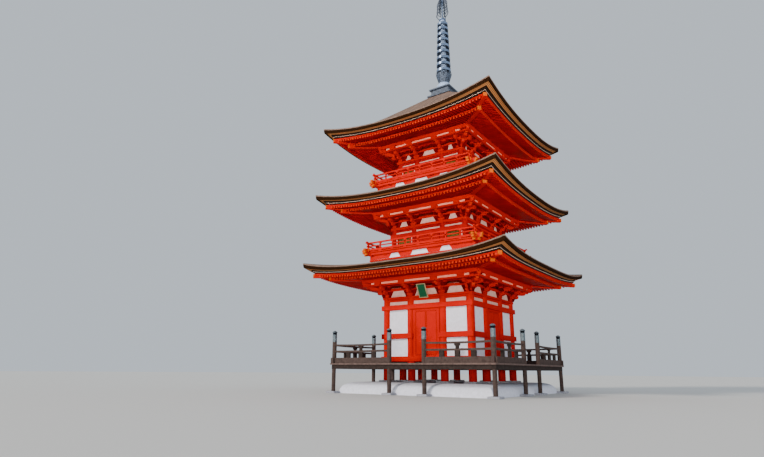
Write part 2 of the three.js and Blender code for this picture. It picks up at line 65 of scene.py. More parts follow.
# Ground storey: half widths to the pillar centres, pillar radius, and the low and high edges of the rails
WALL = 1.425
INNER = 0.552
PILLAR = 0.1145
FOOT_TIE = (0.726, 0.866)
SILL_RAIL = (0.912, 1.06)
WAIST_RAIL = (1.583, 1.734)
LINTEL_RAIL = (2.446, 2.59)
HEAD_TIE = (2.703, 2.775)
PLATE = (2.775, 2.844)

# Doors: a leaf from its gap to its hinge edge, low and high; its front face, and its pivot pin
SWINGING_LEAF = (0.0045, 1.09, 2.386)
FIXED_LEAF = (0.003, 1.085, 2.391)
LEAF_EDGE = 0.368
LEAF_FACE = 1.495
LEAF_THICK = 0.04
PIVOT_PLACE = (0.358, 1.487)
PIVOT_RADIUS = 0.007
PIVOT_HEIGHTS = (1.0845, 2.3915)

# Veranda: half widths to the posts, to the gate posts and to the ends of the boards, and heights
VERANDA = 2.573
GATE = 0.565
DECK_OUT = 2.665
DECK = (0.806, 0.85)
BEAM_LOW = 0.686
BOARD_JOINT = 0.006

# Railing post as radius and height, from the tip down: bronze cap, black neck, sleeves, timber shaft
POST = ((0.0, 1.812), (0.02, 1.806), (0.05, 1.792), (0.074, 1.768), (0.078, 1.752), (0.068, 1.742),
        (0.062, 1.734), (0.062, 1.694), (0.067, 1.69), (0.067, 1.682), (0.066, 1.674), (0.066, 1.632),
        (0.069, 1.628), (0.069, 1.616), (0.066, 1.612), (0.066, 1.512), (0.069, 1.508), (0.069, 1.49),
        (0.066, 1.486), (0.066, 1.474), (0.066, DECK[1]), (0.0, DECK[1]))
# The black band covers the neck and, as painted shade, the cap's lower half; the cap's top stays verdigris
POST_BANDS = ((1.474, 1.691, 1), (1.691, 1.75, 2), (1.75, 1.82, 1))

# Upper storeys: half widths to the pillar centres, waist frame and railing, the height of the waist base that
# all heights of a storey count from, and the roof below
Storey = namedtuple("Storey", "name wall inner waist rail base below")
SECOND = Storey("second", wall=1.26, inner=0.505, waist=1.811, rail=1.877, base=4.045, below=0)
THIRD = Storey("third", wall=1.12, inner=0.459, waist=1.659, rail=1.737, base=6.37, below=1)
UPPER = (SECOND, THIRD)
UPPER_PILLAR = 0.09
PILLAR_FOOT = 0.195
SILL = (0.275, 0.345)
LINTEL = (0.724, 0.845)
STRIP = 0.915
UPPER_PLATE = (0.985, 1.068)

# Roofs: half width, height of the bark at the middle of an eave, slope, curve, corner curl, its power, the
# share of it that the rafters follow, the drop from the bark to the underside of the lower rafter ends, the
# storey's pillars and plate, and the purlin: half width, the white strips' foot, and underside
Roof = namedtuple("Roof", "name reach edge slope curve curl power share drop wall inner plate purlin strip "
                  "purlin_low")
ROOFS = (
    Roof("first", reach=3.328, edge=3.596, slope=0.2, curve=0.025, curl=0.268, power=3.4, share=0.6,
         drop=0.292, wall=WALL, inner=INNER, plate=PLATE, purlin=1.96, strip=3.196, purlin_low=3.298),
    Roof("second", reach=3.114, edge=5.785, slope=0.31, curve=0.015, curl=0.335, power=2.5, share=0.77,
         drop=0.292, wall=SECOND.wall, inner=SECOND.inner, plate=(5.03, 5.113), purlin=1.741,
         strip=5.419, purlin_low=5.521),
    Roof("third", reach=2.987, edge=8.1, slope=0.42, curve=0.155, curl=0.365, power=2.4, share=0.77,
         drop=0.335, wall=THIRD.wall, inner=THIRD.inner, plate=(7.355, 7.438), purlin=1.621,
         strip=7.751, purlin_low=7.853),
)
CURL_ROOT = 0.45
SLOPE_ROWS = 14
# The top roof runs straight inside this half width, and ends round the spire's box
STRAIGHT_INSIDE = 1.637
SPIRE_HOLE = 0.39
SPIRE_SEAT = 9.99

# Rafters: how far the two tiers end inside the bark's edge, their depth, and the flying tier's line
STEP_IN = 0.63
FLY_END = 0.285
FLY_LOW = 0.265
FLY_SLOPE = 0.197
RAFTER_TALL = 0.07
FLY_TALL = 0.062
PURLIN_TALL = 0.097

# Bracket sets, at the ground storey's scale: tiers over the plate, and the section and reach of an arm
TIER_STACK = (0.096, 0.221, 0.346, 0.454)
ARM_HALF = 0.042
ARM_TALL = 0.095
CROSS_TALL = 0.9 * ARM_TALL
CROSS_REACH = 0.235
NOSES = (0.05, 0.05, 0.04)
SLANT_NOSES = (0.05, 0.05, 0.03)

# Spire: box as half width and height, then bowl, flange and jewels as radius and height
SPIRE_BOX = ((0.0, SPIRE_SEAT), (0.45, SPIRE_SEAT), (0.45, 10.03), (0.435, 10.047), (0.345, 10.05),
             (0.345, 10.248), (0.385, 10.25), (0.4, 10.262), (0.4, 10.301), (0.0, 10.301))
BOWL = ((0.0, 10.301), (0.285, 10.301), (0.288, 10.33), (0.28, 10.39), (0.26, 10.46), (0.228, 10.53),
        (0.2, 10.575), (0.185, 10.595), (0.182, 10.615), (0.185, 10.64), (0.2, 10.7), (0.22, 10.78),
        (0.238, 10.86), (0.25, 10.93), (0.25, 10.965), (0.1, 10.98), (0.09, 11.0), (0.0, 11.0))
PETALS = 12
# Two rows of petals: foot, tip and the radius at the tip
PETAL_ROWS = ((10.64, 10.95, 0.275), (10.68, 10.995, 0.298))
PETAL_FOOT = 0.185
RING_HEIGHTS = (11.088, 11.345, 11.592, 11.852, 12.097, 12.349, 12.585, 12.822, 13.031)
RING_RADII = (0.262, 0.196)
# Painted shade on a ring, as spans of height that hold its middle: the rim's edge and inside, the underside
RING_DARK = ((-0.046, -0.044), (-0.009, -0.005), (0.029, 0.031))
# The tube between the rings carries a painted highlight
TUBE = ((0.0, 10.99), (0.11, 10.99), (0.105, 11.04), (0.085, 13.24), (0.0, 13.24))
FLANGE = ((0.0, 13.226), (0.13, 13.226), (0.13, 13.25), (0.05, 13.276), (0.036, 13.29), (0.0, 13.29))
POLE = ((0.0, 13.285), (0.026, 13.285), (0.022, 14.424), (0.0, 14.424))
# Tongues of the flame: foot, distance from the axis there, height, and how far they swell
TONGUES = ((13.32, 0.08, 0.36, 0.2), (13.42, 0.04, 0.42, 0.2), (13.54, 0.03, 0.44, 0.19),
           (13.66, 0.03, 0.46, 0.19), (13.78, 0.02, 0.42, 0.15), (13.88, 0.02, 0.36, 0.11),
           (13.98, 0.02, 0.32, 0.075))
JEWELS = ((0.0, 14.42), (0.05, 14.425), (0.08, 14.455), (0.094, 14.49), (0.082, 14.53), (0.055, 14.562),
          (0.03, 14.585), (0.028, 14.64), (0.06, 14.665), (0.092, 14.7), (0.109, 14.755), (0.1, 14.82),
          (0.07, 14.88), (0.03, 14.93), (0.008, 14.975), (0.0, 15.0))

# Stage: floor, sky, a sun from the left, and a low, flat fill from the right that reaches under the eaves
FLOOR_HALF = 150
FLOOR_COLOUR = "#D6D5D2"
SKY_COLOUR = "#DCE6F0"
SKY_STRENGTH = 0.85
LAMP_COLOUR = "#FFF4E6"
SUN_STRENGTH = 2.9
SUN_WIDTH = math.radians(9)
SUN_PLACE = (-10, -20, 10)
SUN_RAY = (0.42, 0.86, -0.42)
FILL_WATTS = 800
FILL_SPREAD = math.radians(50)
FILL_SIZE = (20, 2)
FILL_PLACE = (13, -21, 1.3)
FILL_RAY = (-0.51, 0.82, 0.26)

# Camera, fitted to the photograph: its place, its turns in radians, and its lens and sensor in millimetres
EYE = (8.1207, -15.1659, 0.62)
YAW, PITCH, ROLL = -0.6189, 0.2629, 0.0079
LENS = 25.05
SENSOR = 36.0

# Modelling: points nearer than TOUCH are one, and edges sharper than these angles are eased or left sharp
TOUCH = 1e-5
EASED_OVER = 1.2
SHARP_OVER = math.radians(35)
# Columns of a curled side crowd towards the corners by this much, and each side's pattern starts this far on
CROWDING = 1.2
PATTERN_SHIFT = 7.3


# Colours and sizes


def linear(code):
    """An sRGB hex code as linear red, green and blue."""
    parts = [int(code[i : i + 2], 16) / 255 for i in (1, 3, 5)]
    return tuple(c / 12.92 if c <= 0.04045 else ((c + 0.055) / 1.055) ** 2.4 for c in parts)


def colour(name, code, where):
    """A colour property with its default from an sRGB hex code."""
    return FloatVectorProperty(
        name=name, description=where, subtype="COLOR", size=3, min=0, max=1, default=linear(code)
    )


def length(name, default, least, where):
    """A length property in metres."""
    return FloatProperty(name=name, description=where, default=default, unit="LENGTH", min=least)


class PagodaSizes(PropertyGroup):
    """Sizes of the repeated pieces."""

    rafter_pitch: length("Rafter pitch", 0.1, 0.05, "From one rafter to the next")
    rafter_width: length("Rafter width", 0.05, 0.01, "Width of a rafter")
    board_width: length("Deck board", 0.17, 0.05, "Width of a veranda floor board")
    bar_pitch: length("Window bar pitch", 0.048, 0.02, "From one window bar to the next")
    curl_columns: IntProperty(
        name="Curl columns", description="Sections along each eave", default=24, min=4, max=64
    )


class PagodaColours(PropertyGroup):
    """Colours of the finishes."""

    vermilion: colour("Vermilion", "#C40E02", "Painted timber")
    # Deep vermilion is painted shade: a darker copy of the vermilion for the parts under the eaves
    painted_shade_red: colour("Deep vermilion", "#B00206", "Sheltered paint, darkened as painted shade")
    orange: colour("Orange red", "#D22E0A", "Painted ends of rafters and arms")
    plaster: colour("Plaster", "#E9ECFC", "Lime plaster panels")
    # Sheltered plaster holds painted shade and painted red bounce light
    plaster_shade_and_bounce: colour("Sheltered plaster", "#E8B8AC", "Plaster under the eaves, with painted shade and red bounce light")
    plaster_bounce_pink: colour("Eave plaster", "#FF9C84", "Strips under the purlins, with the most painted red bounce light")
    # Eave plaster holds painted red bounce light
    bark: colour("Bark", "#8A7266", "Weathered roof surface")
    bark_edge: colour("Bark edge", "#2E1A0C", "Cut edge of the bark layers")
    bark_new: colour("Cedar layer", "#C48450", "Lighter layer under the bark")
    eave_board: colour("Eave board", "#D4B8AA", "Pale board line under the bark")
    old_timber: colour("Weathered timber", "#52433F", "Veranda")
    bronze: colour("Bronze", "#96ACCE", "Spire")
    verdigris: colour("Verdigris", "#6C7C86", "Sleeves of the railing posts")
    board_green: colour("Green", "#0A5A38", "Name board")
    bar_green: colour("Bar green", "#6A682C", "Window bars")
    ochre: colour("Ochre", "#D86000", "Caps on hip rafters and rails")
    cream: colour("Cream", "#BCAE84", "Frame of the name board")


# Finishes


def add(tree, kind, settings=None, inputs=None, stops=None):
    """Adds a shader node with its settings; an input is a value or another node's socket."""
    made = tree.nodes.new("ShaderNode" + kind)
    for name, value in (settings or {}).items():
        setattr(made, name, value)
    for name, value in (inputs or {}).items():
        if isinstance(value, bpy.types.NodeSocket):
            tree.links.new(value, made.inputs[name])
        else:
            made.inputs[name].default_value = value
    for i, (place, shade) in enumerate(stops or ()):
        point = made.color_ramp.elements[i] if i < 2 else made.color_ramp.elements.new(place)
        point.position = place
        point.color = (*shade, 1)
    return made


def scaled(shade, share):
    """A colour at a share of its strength."""
    return tuple(c * share for c in shade)


def mottled(tree, shade, dark, light, patch, stops=(0.35, 0.65), detail=4):
    """Patches of a real size in millimetres between two shares of a colour: the colour, and the noise for
    a bump. Object coordinates are the pagoda's own metres."""
    coords = add(tree, "TexCoord").outputs["Object"]
    noise = add(tree, "TexNoise", None,
                {"Vector": coords, "Scale": 1000 / patch, "Detail": detail, "Roughness": 0.6})
    ramp = add(tree, "ValToRGB", None, {"Fac": noise.outputs["Fac"]},
               [(stops[0], scaled(shade, dark)), (stops[1], scaled(shade, light))])
    return ramp.outputs["Color"], noise.outputs["Fac"]


def surface(tree, shade, roughness, metallic=0.0, height=None, depth=0.001, gloss=0.2):
    """A principled surface with an optional bump of a real depth."""
    inputs = {"Base Color": shade if isinstance(shade, bpy.types.NodeSocket) else (*shade, 1),
              "Roughness": roughness, "Metallic": metallic, "Specular IOR Level": 0.5 if metallic else gloss}
    if height is not None:
        bump = add(tree, "Bump", None, {"Height": height, "Distance": depth, "Strength": 0.6})
        inputs["Normal"] = bump.outputs["Normal"]
    return add(tree, "BsdfPrincipled", None, inputs)


def coat(tree, shade, dark, light, patch, roughness, metallic=0.0, depth=0.0, gloss=0.2, **grain):
    """A mottled surface, whose patches stand out where it has a depth."""
    patches, height = mottled(tree, shade, dark, light, patch, **grain)
    return surface(tree, patches, roughness, metallic, height if depth else None, depth, gloss)


def band_scale(width):
    """The wave texture's scale for bands of a real width in millimetres: it draws 20 radians to a metre."""
    return 2 * math.pi / 20 * 1000 / width


def layered(tree, shade, width, wander, wander_size, dark, stops, roughness):
    """Layers of a real width in millimetres along the eave, wandering a little, darker where they part."""
    uv = add(tree, "UVMap", {"uv_map": "Along"}).outputs["UV"]
    layers = add(tree, "TexWave", {"wave_type": "BANDS", "bands_direction": "Y"},
                 {"Vector": uv, "Scale": band_scale(width), "Distortion": wander, "Detail": 2.0,
                  "Detail Scale": wander_size})
    height = layers.outputs["Fac"]
    ramp = add(tree, "ValToRGB", None, {"Fac": height}, [(stops[0], scaled(shade, dark)), (stops[1], shade)])
    return surface(tree, ramp.outputs["Color"], roughness, height=height, depth=0.004, gloss=0.02)


def vermilion_paint(tree, shades):
    """Red-lead oil paint brushed on cypress: satin, faded in patches 0.6 m wide, with a ripple of 20 mm."""
    shade, _ = mottled(tree, shades.vermilion, 0.8, 1, 588.2, (0.3, 0.6))
    coords = add(tree, "TexCoord").outputs["Object"]
    ripple = add(tree, "TexNoise", None, {"Vector": coords, "Scale": 1000 / 20, "Detail": 2.0})
    return surface(tree, shade, 0.6, height=ripple.outputs["Fac"], depth=0.001, gloss=0.04)


def vermilion_in_painted_shade(tree, shades):
    """The same paint, duller and deeper red, for the parts under the eaves: painted shade, in patches 0.4 m
    wide.
    """
    return coat(tree, shades.painted_shade_red, 0.7, 1, 400, 0.6, gloss=0.04)


def painted_shade_vermilion(tree, shades):
    """Painted shade on the arms next to the wall: the vermilion made dull and dark red."""
    return coat(tree, shades.painted_shade_red, 0.2, 0.5, 142.9, 0.9, gloss=0.02)


def painted_shade_dark(tree, shades):
    """Painted shade deep between arms and in sunk lines: nearly black red."""
    return coat(tree, shades.painted_shade_red, 0.1, 0.3, 200, 0.9)


def orange_paint(tree, shades):
    """Thicker, fresher orange-red paint on sawn timber ends: flat, even colour."""
    return coat(tree, shades.orange, 0.75, 1, 166.7, 0.6, gloss=0.04)


def ochre_paint(tree, shades):
    """Ochre paint on the caps of hip rafters and rails: chalky, warm orange yellow, worn in 50 mm patches."""
    return coat(tree, shades.ochre, 0.7, 1, 50, 0.7, gloss=0.04)


def cream_paint(tree, shades):
    """Cream paint on the name board's frame, darkened by dust in places."""
    return coat(tree, shades.cream, 0.7, 1, 55.56, 0.6)


def green_lacquer(tree, shades):
    """Green lacquered board: even and slightly glossy."""
    return coat(tree, shades.board_green, 0.7, 1, 71.43, 0.4)


def bar_paint(tree, shades):
    """Green paint on the window bars: chalky."""
    return coat(tree, shades.bar_green, 0.7, 1, 111.1, 0.7)


def lime_plaster(tree, shades):
    """Trowelled white lime plaster: matt, faint clouding and trowel marks about 80 mm wide."""
    return coat(tree, shades.plaster, 0.88, 1, 83.33, 0.9, depth=0.002)


def plaster_painted_shade_and_bounce(tree, shades):
    """Lime plaster under the eaves with painted shade and red bounce light from the paint: matt, dull pink."""
    return coat(tree, shades.plaster_shade_and_bounce, 0.8, 1, 83.33, 0.9)


def plaster_painted_red_bounce(tree, shades):
    """Lime plaster of the strips under the purlins: matt, salmon with painted red bounce light from the paint.
    """
    return coat(tree, shades.plaster_bounce_pink, 0.9, 1, 83.33, 0.9)


def field_stone(tree, shades):
    """Dressed granite of the base stones: grey, its grains drawn 17 mm wide so that they show."""
    return coat(tree, shades.plaster, 0.3, 0.6, 16.67, 0.85, depth=0.002)


def bark_shingle(tree, shades):
    """Cypress bark shingles, weathered: courses 12 mm apart, drawn 70 mm apart so that they show, and grey
    streaks down the slope, 0.11 m wide and 0.7 m long."""
    uv = add(tree, "UVMap", {"uv_map": "Along"}).outputs["UV"]
    courses = add(tree, "TexWave", {"wave_type": "BANDS", "bands_direction": "Y", "wave_profile": "SAW"},
                  {"Vector": uv, "Scale": band_scale(69.813), "Distortion": 1.2, "Detail": 3.0,
                   "Detail Scale": 2.0})
    long = add(tree, "Mapping", None, {"Vector": uv, "Scale": (1000 / 111.1, 1000 / 714.3, 1.0)})
    streaks = add(tree, "TexNoise", None,
                  {"Vector": long.outputs["Vector"], "Scale": 1.0, "Detail": 6.0, "Roughness": 0.65})
    aged = add(tree, "ValToRGB", None, {"Fac": streaks.outputs["Fac"]},
               [(0.3, scaled(shades.bark, 0.5)), (0.7, shades.bark), (0.52, scaled(shades.bark, 0.8))])
    lines = add(tree, "ValToRGB", None, {"Fac": courses.outputs["Fac"]},
                [(0.0, (0.62, 0.6, 0.58)), (0.35, (1.0, 1.0, 1.0))])
    both = add(tree, "Mix", {"data_type": "RGBA", "blend_type": "MULTIPLY"},
               {0: 1.0, 6: aged.outputs["Color"], 7: lines.outputs["Color"]})
    return surface(tree, both.outputs[2], 0.95, height=courses.outputs["Fac"], depth=0.012)


def bark_layers(tree, shades):
    """The cut eave of packed bark: dark brown, its layers about 12 mm thick seen edge on."""
    return layered(tree, shades.bark_edge, 12.083, 2.5, 0.6, 0.45, (0.2, 0.9), 0.9)


def cedar_layer(tree, shades):
    """Cedar boards under the bark: warm brown, in courses about 40 mm wide that run along the eave."""
    return layered(tree, shades.bark_new, 39.27, 1.5, 0.5, 0.3, (0.25, 0.75), 0.8)


def painted_shade_recess(tree, shades):
    """Dark brown battens and underside in the recess under the bark: painted shade."""
    return coat(tree, shades.bark_edge, 0.3, 0.7, 200, 0.9)


def limed_board(tree, shades):
    """Eave boards whose edges are limed: one thin pale line."""
    return coat(tree, shades.eave_board, 0.7, 1, 142.9, 0.85)


def weathered_cypress(tree, shades):
    """Unpainted cypress, outdoors for decades: grey brown patches 70 mm wide with finer grain in them."""
    return coat(tree, shades.old_timber, 0.5, 1, 71.43, 0.85, depth=0.003, stops=(0.3, 0.7), detail=8)


def painted_shade_cypress(tree, shades):
    """Unpainted cypress where the deck and the rails cast shade: the same timber, darker as painted shade."""
    return coat(tree, shades.old_timber, 0.2, 0.5, 71.43, 0.85, depth=0.003, stops=(0.3, 0.7), detail=8)


def deck_cypress(tree, shades):
    """Deck boards polished by feet and rain: a little paler and smoother than the frame."""
    return coat(tree, shades.old_timber, 0.9, 1.9, 100, 0.7, stops=(0.3, 0.7), detail=8)


def cast_bronze(tree, shades):
    """Cast bronze with a blue-grey skin: soft highlights, darker in hollows."""
    return coat(tree, shades.bronze, 0.5, 1, 125, 0.3, metallic=0.9, depth=0.001)


def painted_highlight_bronze(tree, shades):
    """Painted highlight on the spire's tube and bowl: the bronze made pale and nearly matt."""
    return coat(tree, shades.bronze, 1, 1.5, 125, 0.5, metallic=0.1, depth=0.001)


def petal_bronze(tree, shades):
    """Bronze of the flower's petals, dark, in 40 mm patches."""
    return coat(tree, shades.bronze, 0.05, 0.42, 41.67, 0.5, metallic=0.5, depth=0.002)


def dark_bronze_and_painted_shade(tree, shades):
    """Sheet bronze of the spire's box, gone dark and nearly matt in patches 60 mm wide; on the rings and bells
    it is painted shade.
    """
    return coat(tree, shades.bronze, 0.1, 0.26, 62.5, 0.6, metallic=0.3, depth=0.001)


def verdigris_bronze(tree, shades):
    """Bronze sleeves gone blue grey in 30 mm patches: half matt."""
    return coat(tree, shades.verdigris, 0.5, 1, 33.33, 0.5, metallic=0.4)


def black_and_painted_shade_bronze(tree, shades):
    """Black, matt bronze of the necks under the caps, also carried over the caps' lower halves as painted
    shade.
    """
    return surface(tree, scaled(shades.bronze, 0.02), 0.9, gloss=0.02)


def finish(build):
    """The material of a finish, made once."""
    name = build.__name__.replace("_", " ")
    made = bpy.data.materials.get(name)
    if made is None:
        made = bpy.data.materials.new(name)
        made.use_nodes = True
        made.node_tree.nodes.clear()
        shader = build(made.node_tree, bpy.context.scene.pagoda_colours)
        add(made.node_tree, "OutputMaterial", None, {"Surface": shader.outputs["BSDF"]})
    return made


# Shapes


def around(middle, half):
    """A span that reaches as far to both sides of its middle."""
    return middle - half, middle + half


def mirrored(hand, a, b):
    """A span on the right, or the same span on the left where hand is -1."""
    return tuple(sorted((hand * a, hand * b)))


def new_verts(bm, first):
    """The vertices added since there were first of them."""
    bm.verts.ensure_lookup_table()
    return bm.verts[first:]


def join(bm, part):
    """Adds a finished part to a piece, and gives the part's vertices there."""
    first = len(bm.verts)
    mesh = bpy.data.meshes.new("part")
    part.to_mesh(mesh)
    part.free()
    bm.from_mesh(mesh)
    bpy.data.meshes.remove(mesh)
    return new_verts(bm, first)


def faces_on(verts):
    """The faces on some vertices."""
    return {face for vert in verts for face in vert.link_faces}


def close(part):
    """Merges a part's seams and poles, and drops edges left without a face."""
    bmesh.ops.remove_doubles(part, verts=part.verts, dist=TOUCH)
    loose = [e for e in part.edges if not e.link_faces]
    bmesh.ops.delete(part, geom=loose, context="EDGES")


def block(bm, x, r, z, mark=0, rounded="", round_by=0.06, soft=0.0):
    """A box on the front side: its span along the face, its span outwards, its span in height.
    rounded names the ends whose lower edge is rounded: - and + along the face, o outwards."""
    size = Vector((x[1] - x[0], r[1] - r[0], z[1] - z[0]))
    centre = ((x[0] + x[1]) / 2, -(r[0] + r[1]) / 2, (z[0] + z[1]) / 2)
    part = bmesh.new()
    bmesh.ops.create_cube(part, size=1, matrix=Matrix.LocRotScale(centre, None, size))
    for face in part.faces:
        face.material_index = mark
    ends = {"-": (0, x[0]), "+": (0, x[1]), "o": (1, -r[1])}
    low = [e for key in rounded for e in part.edges if all(
        abs(v.co[ends[key][0]] - ends[key][1]) < TOUCH and abs(v.co.z - z[0]) < TOUCH for v in e.verts)]
    if low:
        bmesh.ops.bevel(part, geom=low, offset=round_by, segments=3, profile=0.5, affect="EDGES", material=-1)
    if soft:
        sharp = [e for e in part.edges if e.calc_face_angle(0) > EASED_OVER]
        bmesh.ops.bevel(part, geom=sharp, offset=soft, segments=1, profile=0.5, affect="EDGES", material=-1)
    return join(bm, part)


def shaped(bm, place, cuts=0, mark=0, end_mark=None):
    """A bar from a cube: place(side, along, up) turns its own coordinates, -0.5 to 0.5 each, into a point."""
    part = bmesh.new()
    bmesh.ops.create_cube(part, size=1)
    for face in part.faces:
        at_end = end_mark is not None and face.calc_center_median().y > 0.49
        face.material_index = end_mark if at_end else mark
    if cuts:
        edges = [e for e in part.edges if abs(e.verts[0].co.y - e.verts[1].co.y) > 0.5]
        bmesh.ops.subdivide_edges(part, edges=edges, cuts=cuts, use_grid_fill=True)
    for vert in part.verts:
        vert.co = place(*vert.co)
    return join(bm, part)


def boat_arm(bm, low_span, high_span, r, z, mark=0):
    """An arm along the face with slanting ends: its span below, its span above."""

    def place(side, along, up):
        x0, x1 = high_span if up > 0 else low_span
        return Vector((x1 if side > 0 else x0, -(r[1] if along > 0 else r[0]), z[1] if up > 0 else z[0]))

    return shaped(bm, place, mark=mark)


def ease(t):
    """Spreads columns more closely towards the corners."""
    return math.sin(t * CROWDING) / math.sin(CROWDING)


def curl(roof, r, x, share=1.0):
    """How far an eave curls up at half width r, at x from the middle of its side."""
    root = roof.reach * CURL_ROOT
    grow = max(0.0, (r - root) / (roof.reach - root))
    return share * roof.curl * min(1.0, abs(x) / r) ** roof.power * grow**2 if r > 0 else 0.0


def swept(bm, section, roof=None, marks=None, columns=None):
    """Sweeps a closed section of (half width, height, share of the curl) round the four sides, mitred.
    marks gives the finish of the face that runs on from each point."""
    columns = columns or (bpy.context.scene.pagoda_sizes.curl_columns if roof else 1)
    rows = len(section)
    run = [0.0]
    for j in range(rows):
        step = Vector(section[(j + 1) % rows][:2]) - Vector(section[j][:2])
        run.append(run[-1] + step.length)
    part = bmesh.new()
    uv = part.loops.layers.uv.new("Along")
    bmesh.ops.create_grid(part, x_segments=4 * columns, y_segments=rows, size=1)
    for face in part.faces:
        middle = face.calc_center_median()
        side = int((middle.x + 1) * 2)
        face.material_index = marks[int((middle.y + 1) / 2 * rows)] if marks else 0
        for loop in face.loops:
            j = round((loop.vert.co.y + 1) / 2 * rows)
            t = ease(2 * ((loop.vert.co.x + 1) * 2 - side) - 1)
            loop[uv].uv = (t * section[j % rows][0] + PATTERN_SHIFT * side, run[j])
    for vert in part.verts:
        turn = (vert.co.x + 1) * 2
        side = min(3, int(turn + 1e-6))
        r, z, *share = section[round((vert.co.y + 1) / 2 * rows) % rows]
        t = ease(2 * (turn - side) - 1)
        lifted = z + (curl(roof, r, t * r, *share) if roof else 0.0)
        vert.co = Matrix.Rotation(side * RIGHT_ANGLE, 3, "Z") @ Vector((t * r, -r, lifted))
    close(part)
    return join(bm, part)


def square_ring(bm, span, heights, mark=0):
    """A plain board or beam that runs round all four sides: its span outwards and its span in height."""
    (inside, outside), (low, high) = span, heights
    swept(bm, [(inside, low), (outside, low), (outside, high), (inside, high)], marks=[mark] * 4)


def rail_ring(bm, inside, outside, heights, soft=0.006, mark=0):
    """A rail that runs round all four sides, with eased outer edges."""
    low, high = heights
    section = [(inside, low), (outside - soft, low), (outside, low + soft), (outside, high - soft),
               (outside - soft, high), (inside, high)]
    swept(bm, section, marks=[mark] * 6)


def turned(bm, profile, steps, centre=(0.0, 0.0), marks=(), loop=False):
    """Spins a (radius, height) profile about an upright axis. It starts and ends on the axis, or is a loop.
    marks gives finishes to spans of height."""
    part = bmesh.new()
    chain = [part.verts.new((centre[0] + r, centre[1], z)) for r, z in profile]
    pairs = list(zip(chain, chain[1:])) + ([(chain[-1], chain[0])] if loop else [])
    edges = [part.edges.new(pair) for pair in pairs]
    bmesh.ops.spin(part, geom=chain + edges, cent=(*centre, 0), axis=(0, 0, 1), angle=2 * math.pi,
                   steps=steps, use_merge=True)
    close(part)
    for face in part.faces:
        height = face.calc_center_median().z
        for low, high, mark in marks:
            if low <= height < high:
                face.material_index = mark
    return join(bm, part)


def round_post(bm, radius, heights, steps, centre):
    """A plain round post."""
    low, high = heights
    turned(bm, [(0.0, low), (radius, low), (radius, high), (0.0, high)], steps, centre)


def pillar_places(wall, inner):
    """Pillar centres round a storey."""
    front = [(-inner, -wall), (inner, -wall), (wall, -wall)]
    places = []
    for _ in range(4):
        places += front
        front = [(-y, x) for x, y in front]
    return places


def four_sides(bm):
    """Repeats what is on the front on the other three sides."""
    geom = bm.verts[:] + bm.edges[:] + bm.faces[:]
    bmesh.ops.spin(bm, geom=geom, cent=(0, 0, 0), axis=(0, 0, 1), angle=3 * RIGHT_ANGLE, steps=3,
                   use_duplicate=True)


def turn_to(bm, verts, angle):
    """Turns some vertices about the pagoda's axis."""
    bmesh.ops.rotate(bm, verts=verts, cent=(0, 0, 0), matrix=Matrix.Rotation(angle, 3, "Z"))


def mirror_diagonal(verts):
    """Mirrors some vertices in the corner's diagonal, from the front side to the right side."""
    for vert in verts:
        vert.co = (-vert.co.y, -vert.co.x, vert.co.z)


def keep(name, bm, finishes, stands_for=(), body="pagoda", smooth=False):
    """Makes a finished piece of a bmesh: faces out, materials on, riding on its body."""
    bmesh.ops.recalc_face_normals(bm, faces=bm.faces)
    mesh = bpy.data.meshes.new(name)
    bm.to_mesh(mesh)
    bm.free()
    for build in finishes:
        mesh.materials.append(finish(build))
    if smooth:
        mesh.shade_smooth()
        mesh.set_sharp_from_angle(angle=SHARP_OVER)
    piece = bpy.data.objects.new(name, mesh)
    bpy.context.scene.collection.objects.link(piece)
    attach(piece, body)
    if stands_for:
        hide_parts(*stands_for)
    return piece


def refinish(node, build):
    """Gives a node of the frame, which shows as it is, its finish."""
    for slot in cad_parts[node].material_slots:
        slot.material = finish(build)


# Ground: mound and stones


class PAGODA_OT_mound(Operator):
    """Rounded white plaster mound with stones for the pillars and veranda posts"""

    bl_idname = "pagoda.mound"
    bl_label = "Mound"

    def execute(self, context):
        bm = bmesh.new()
        swept(bm, [(0.0, 0.0), *MOUND_RIM, (0.0, MOUND_TOP)])
        keep("mound", bm, [lime_plaster], ["plaster_mound"], smooth=True)
        bm = bmesh.new()
        for places, half, heights in ((pillar_places(WALL, INNER), 0.19, (MOUND_TOP - 0.02, STONE_TOP)),
                                      (pillar_places(VERANDA, GATE), 0.16, (0.0, POST_STONE_TOP))):
            for x, y in places:
                block(bm, around(x, half), around(-y, half), heights, soft=0.012)
        keep("base_stones", bm, [field_stone])
        return {"FINISHED"}


# Veranda


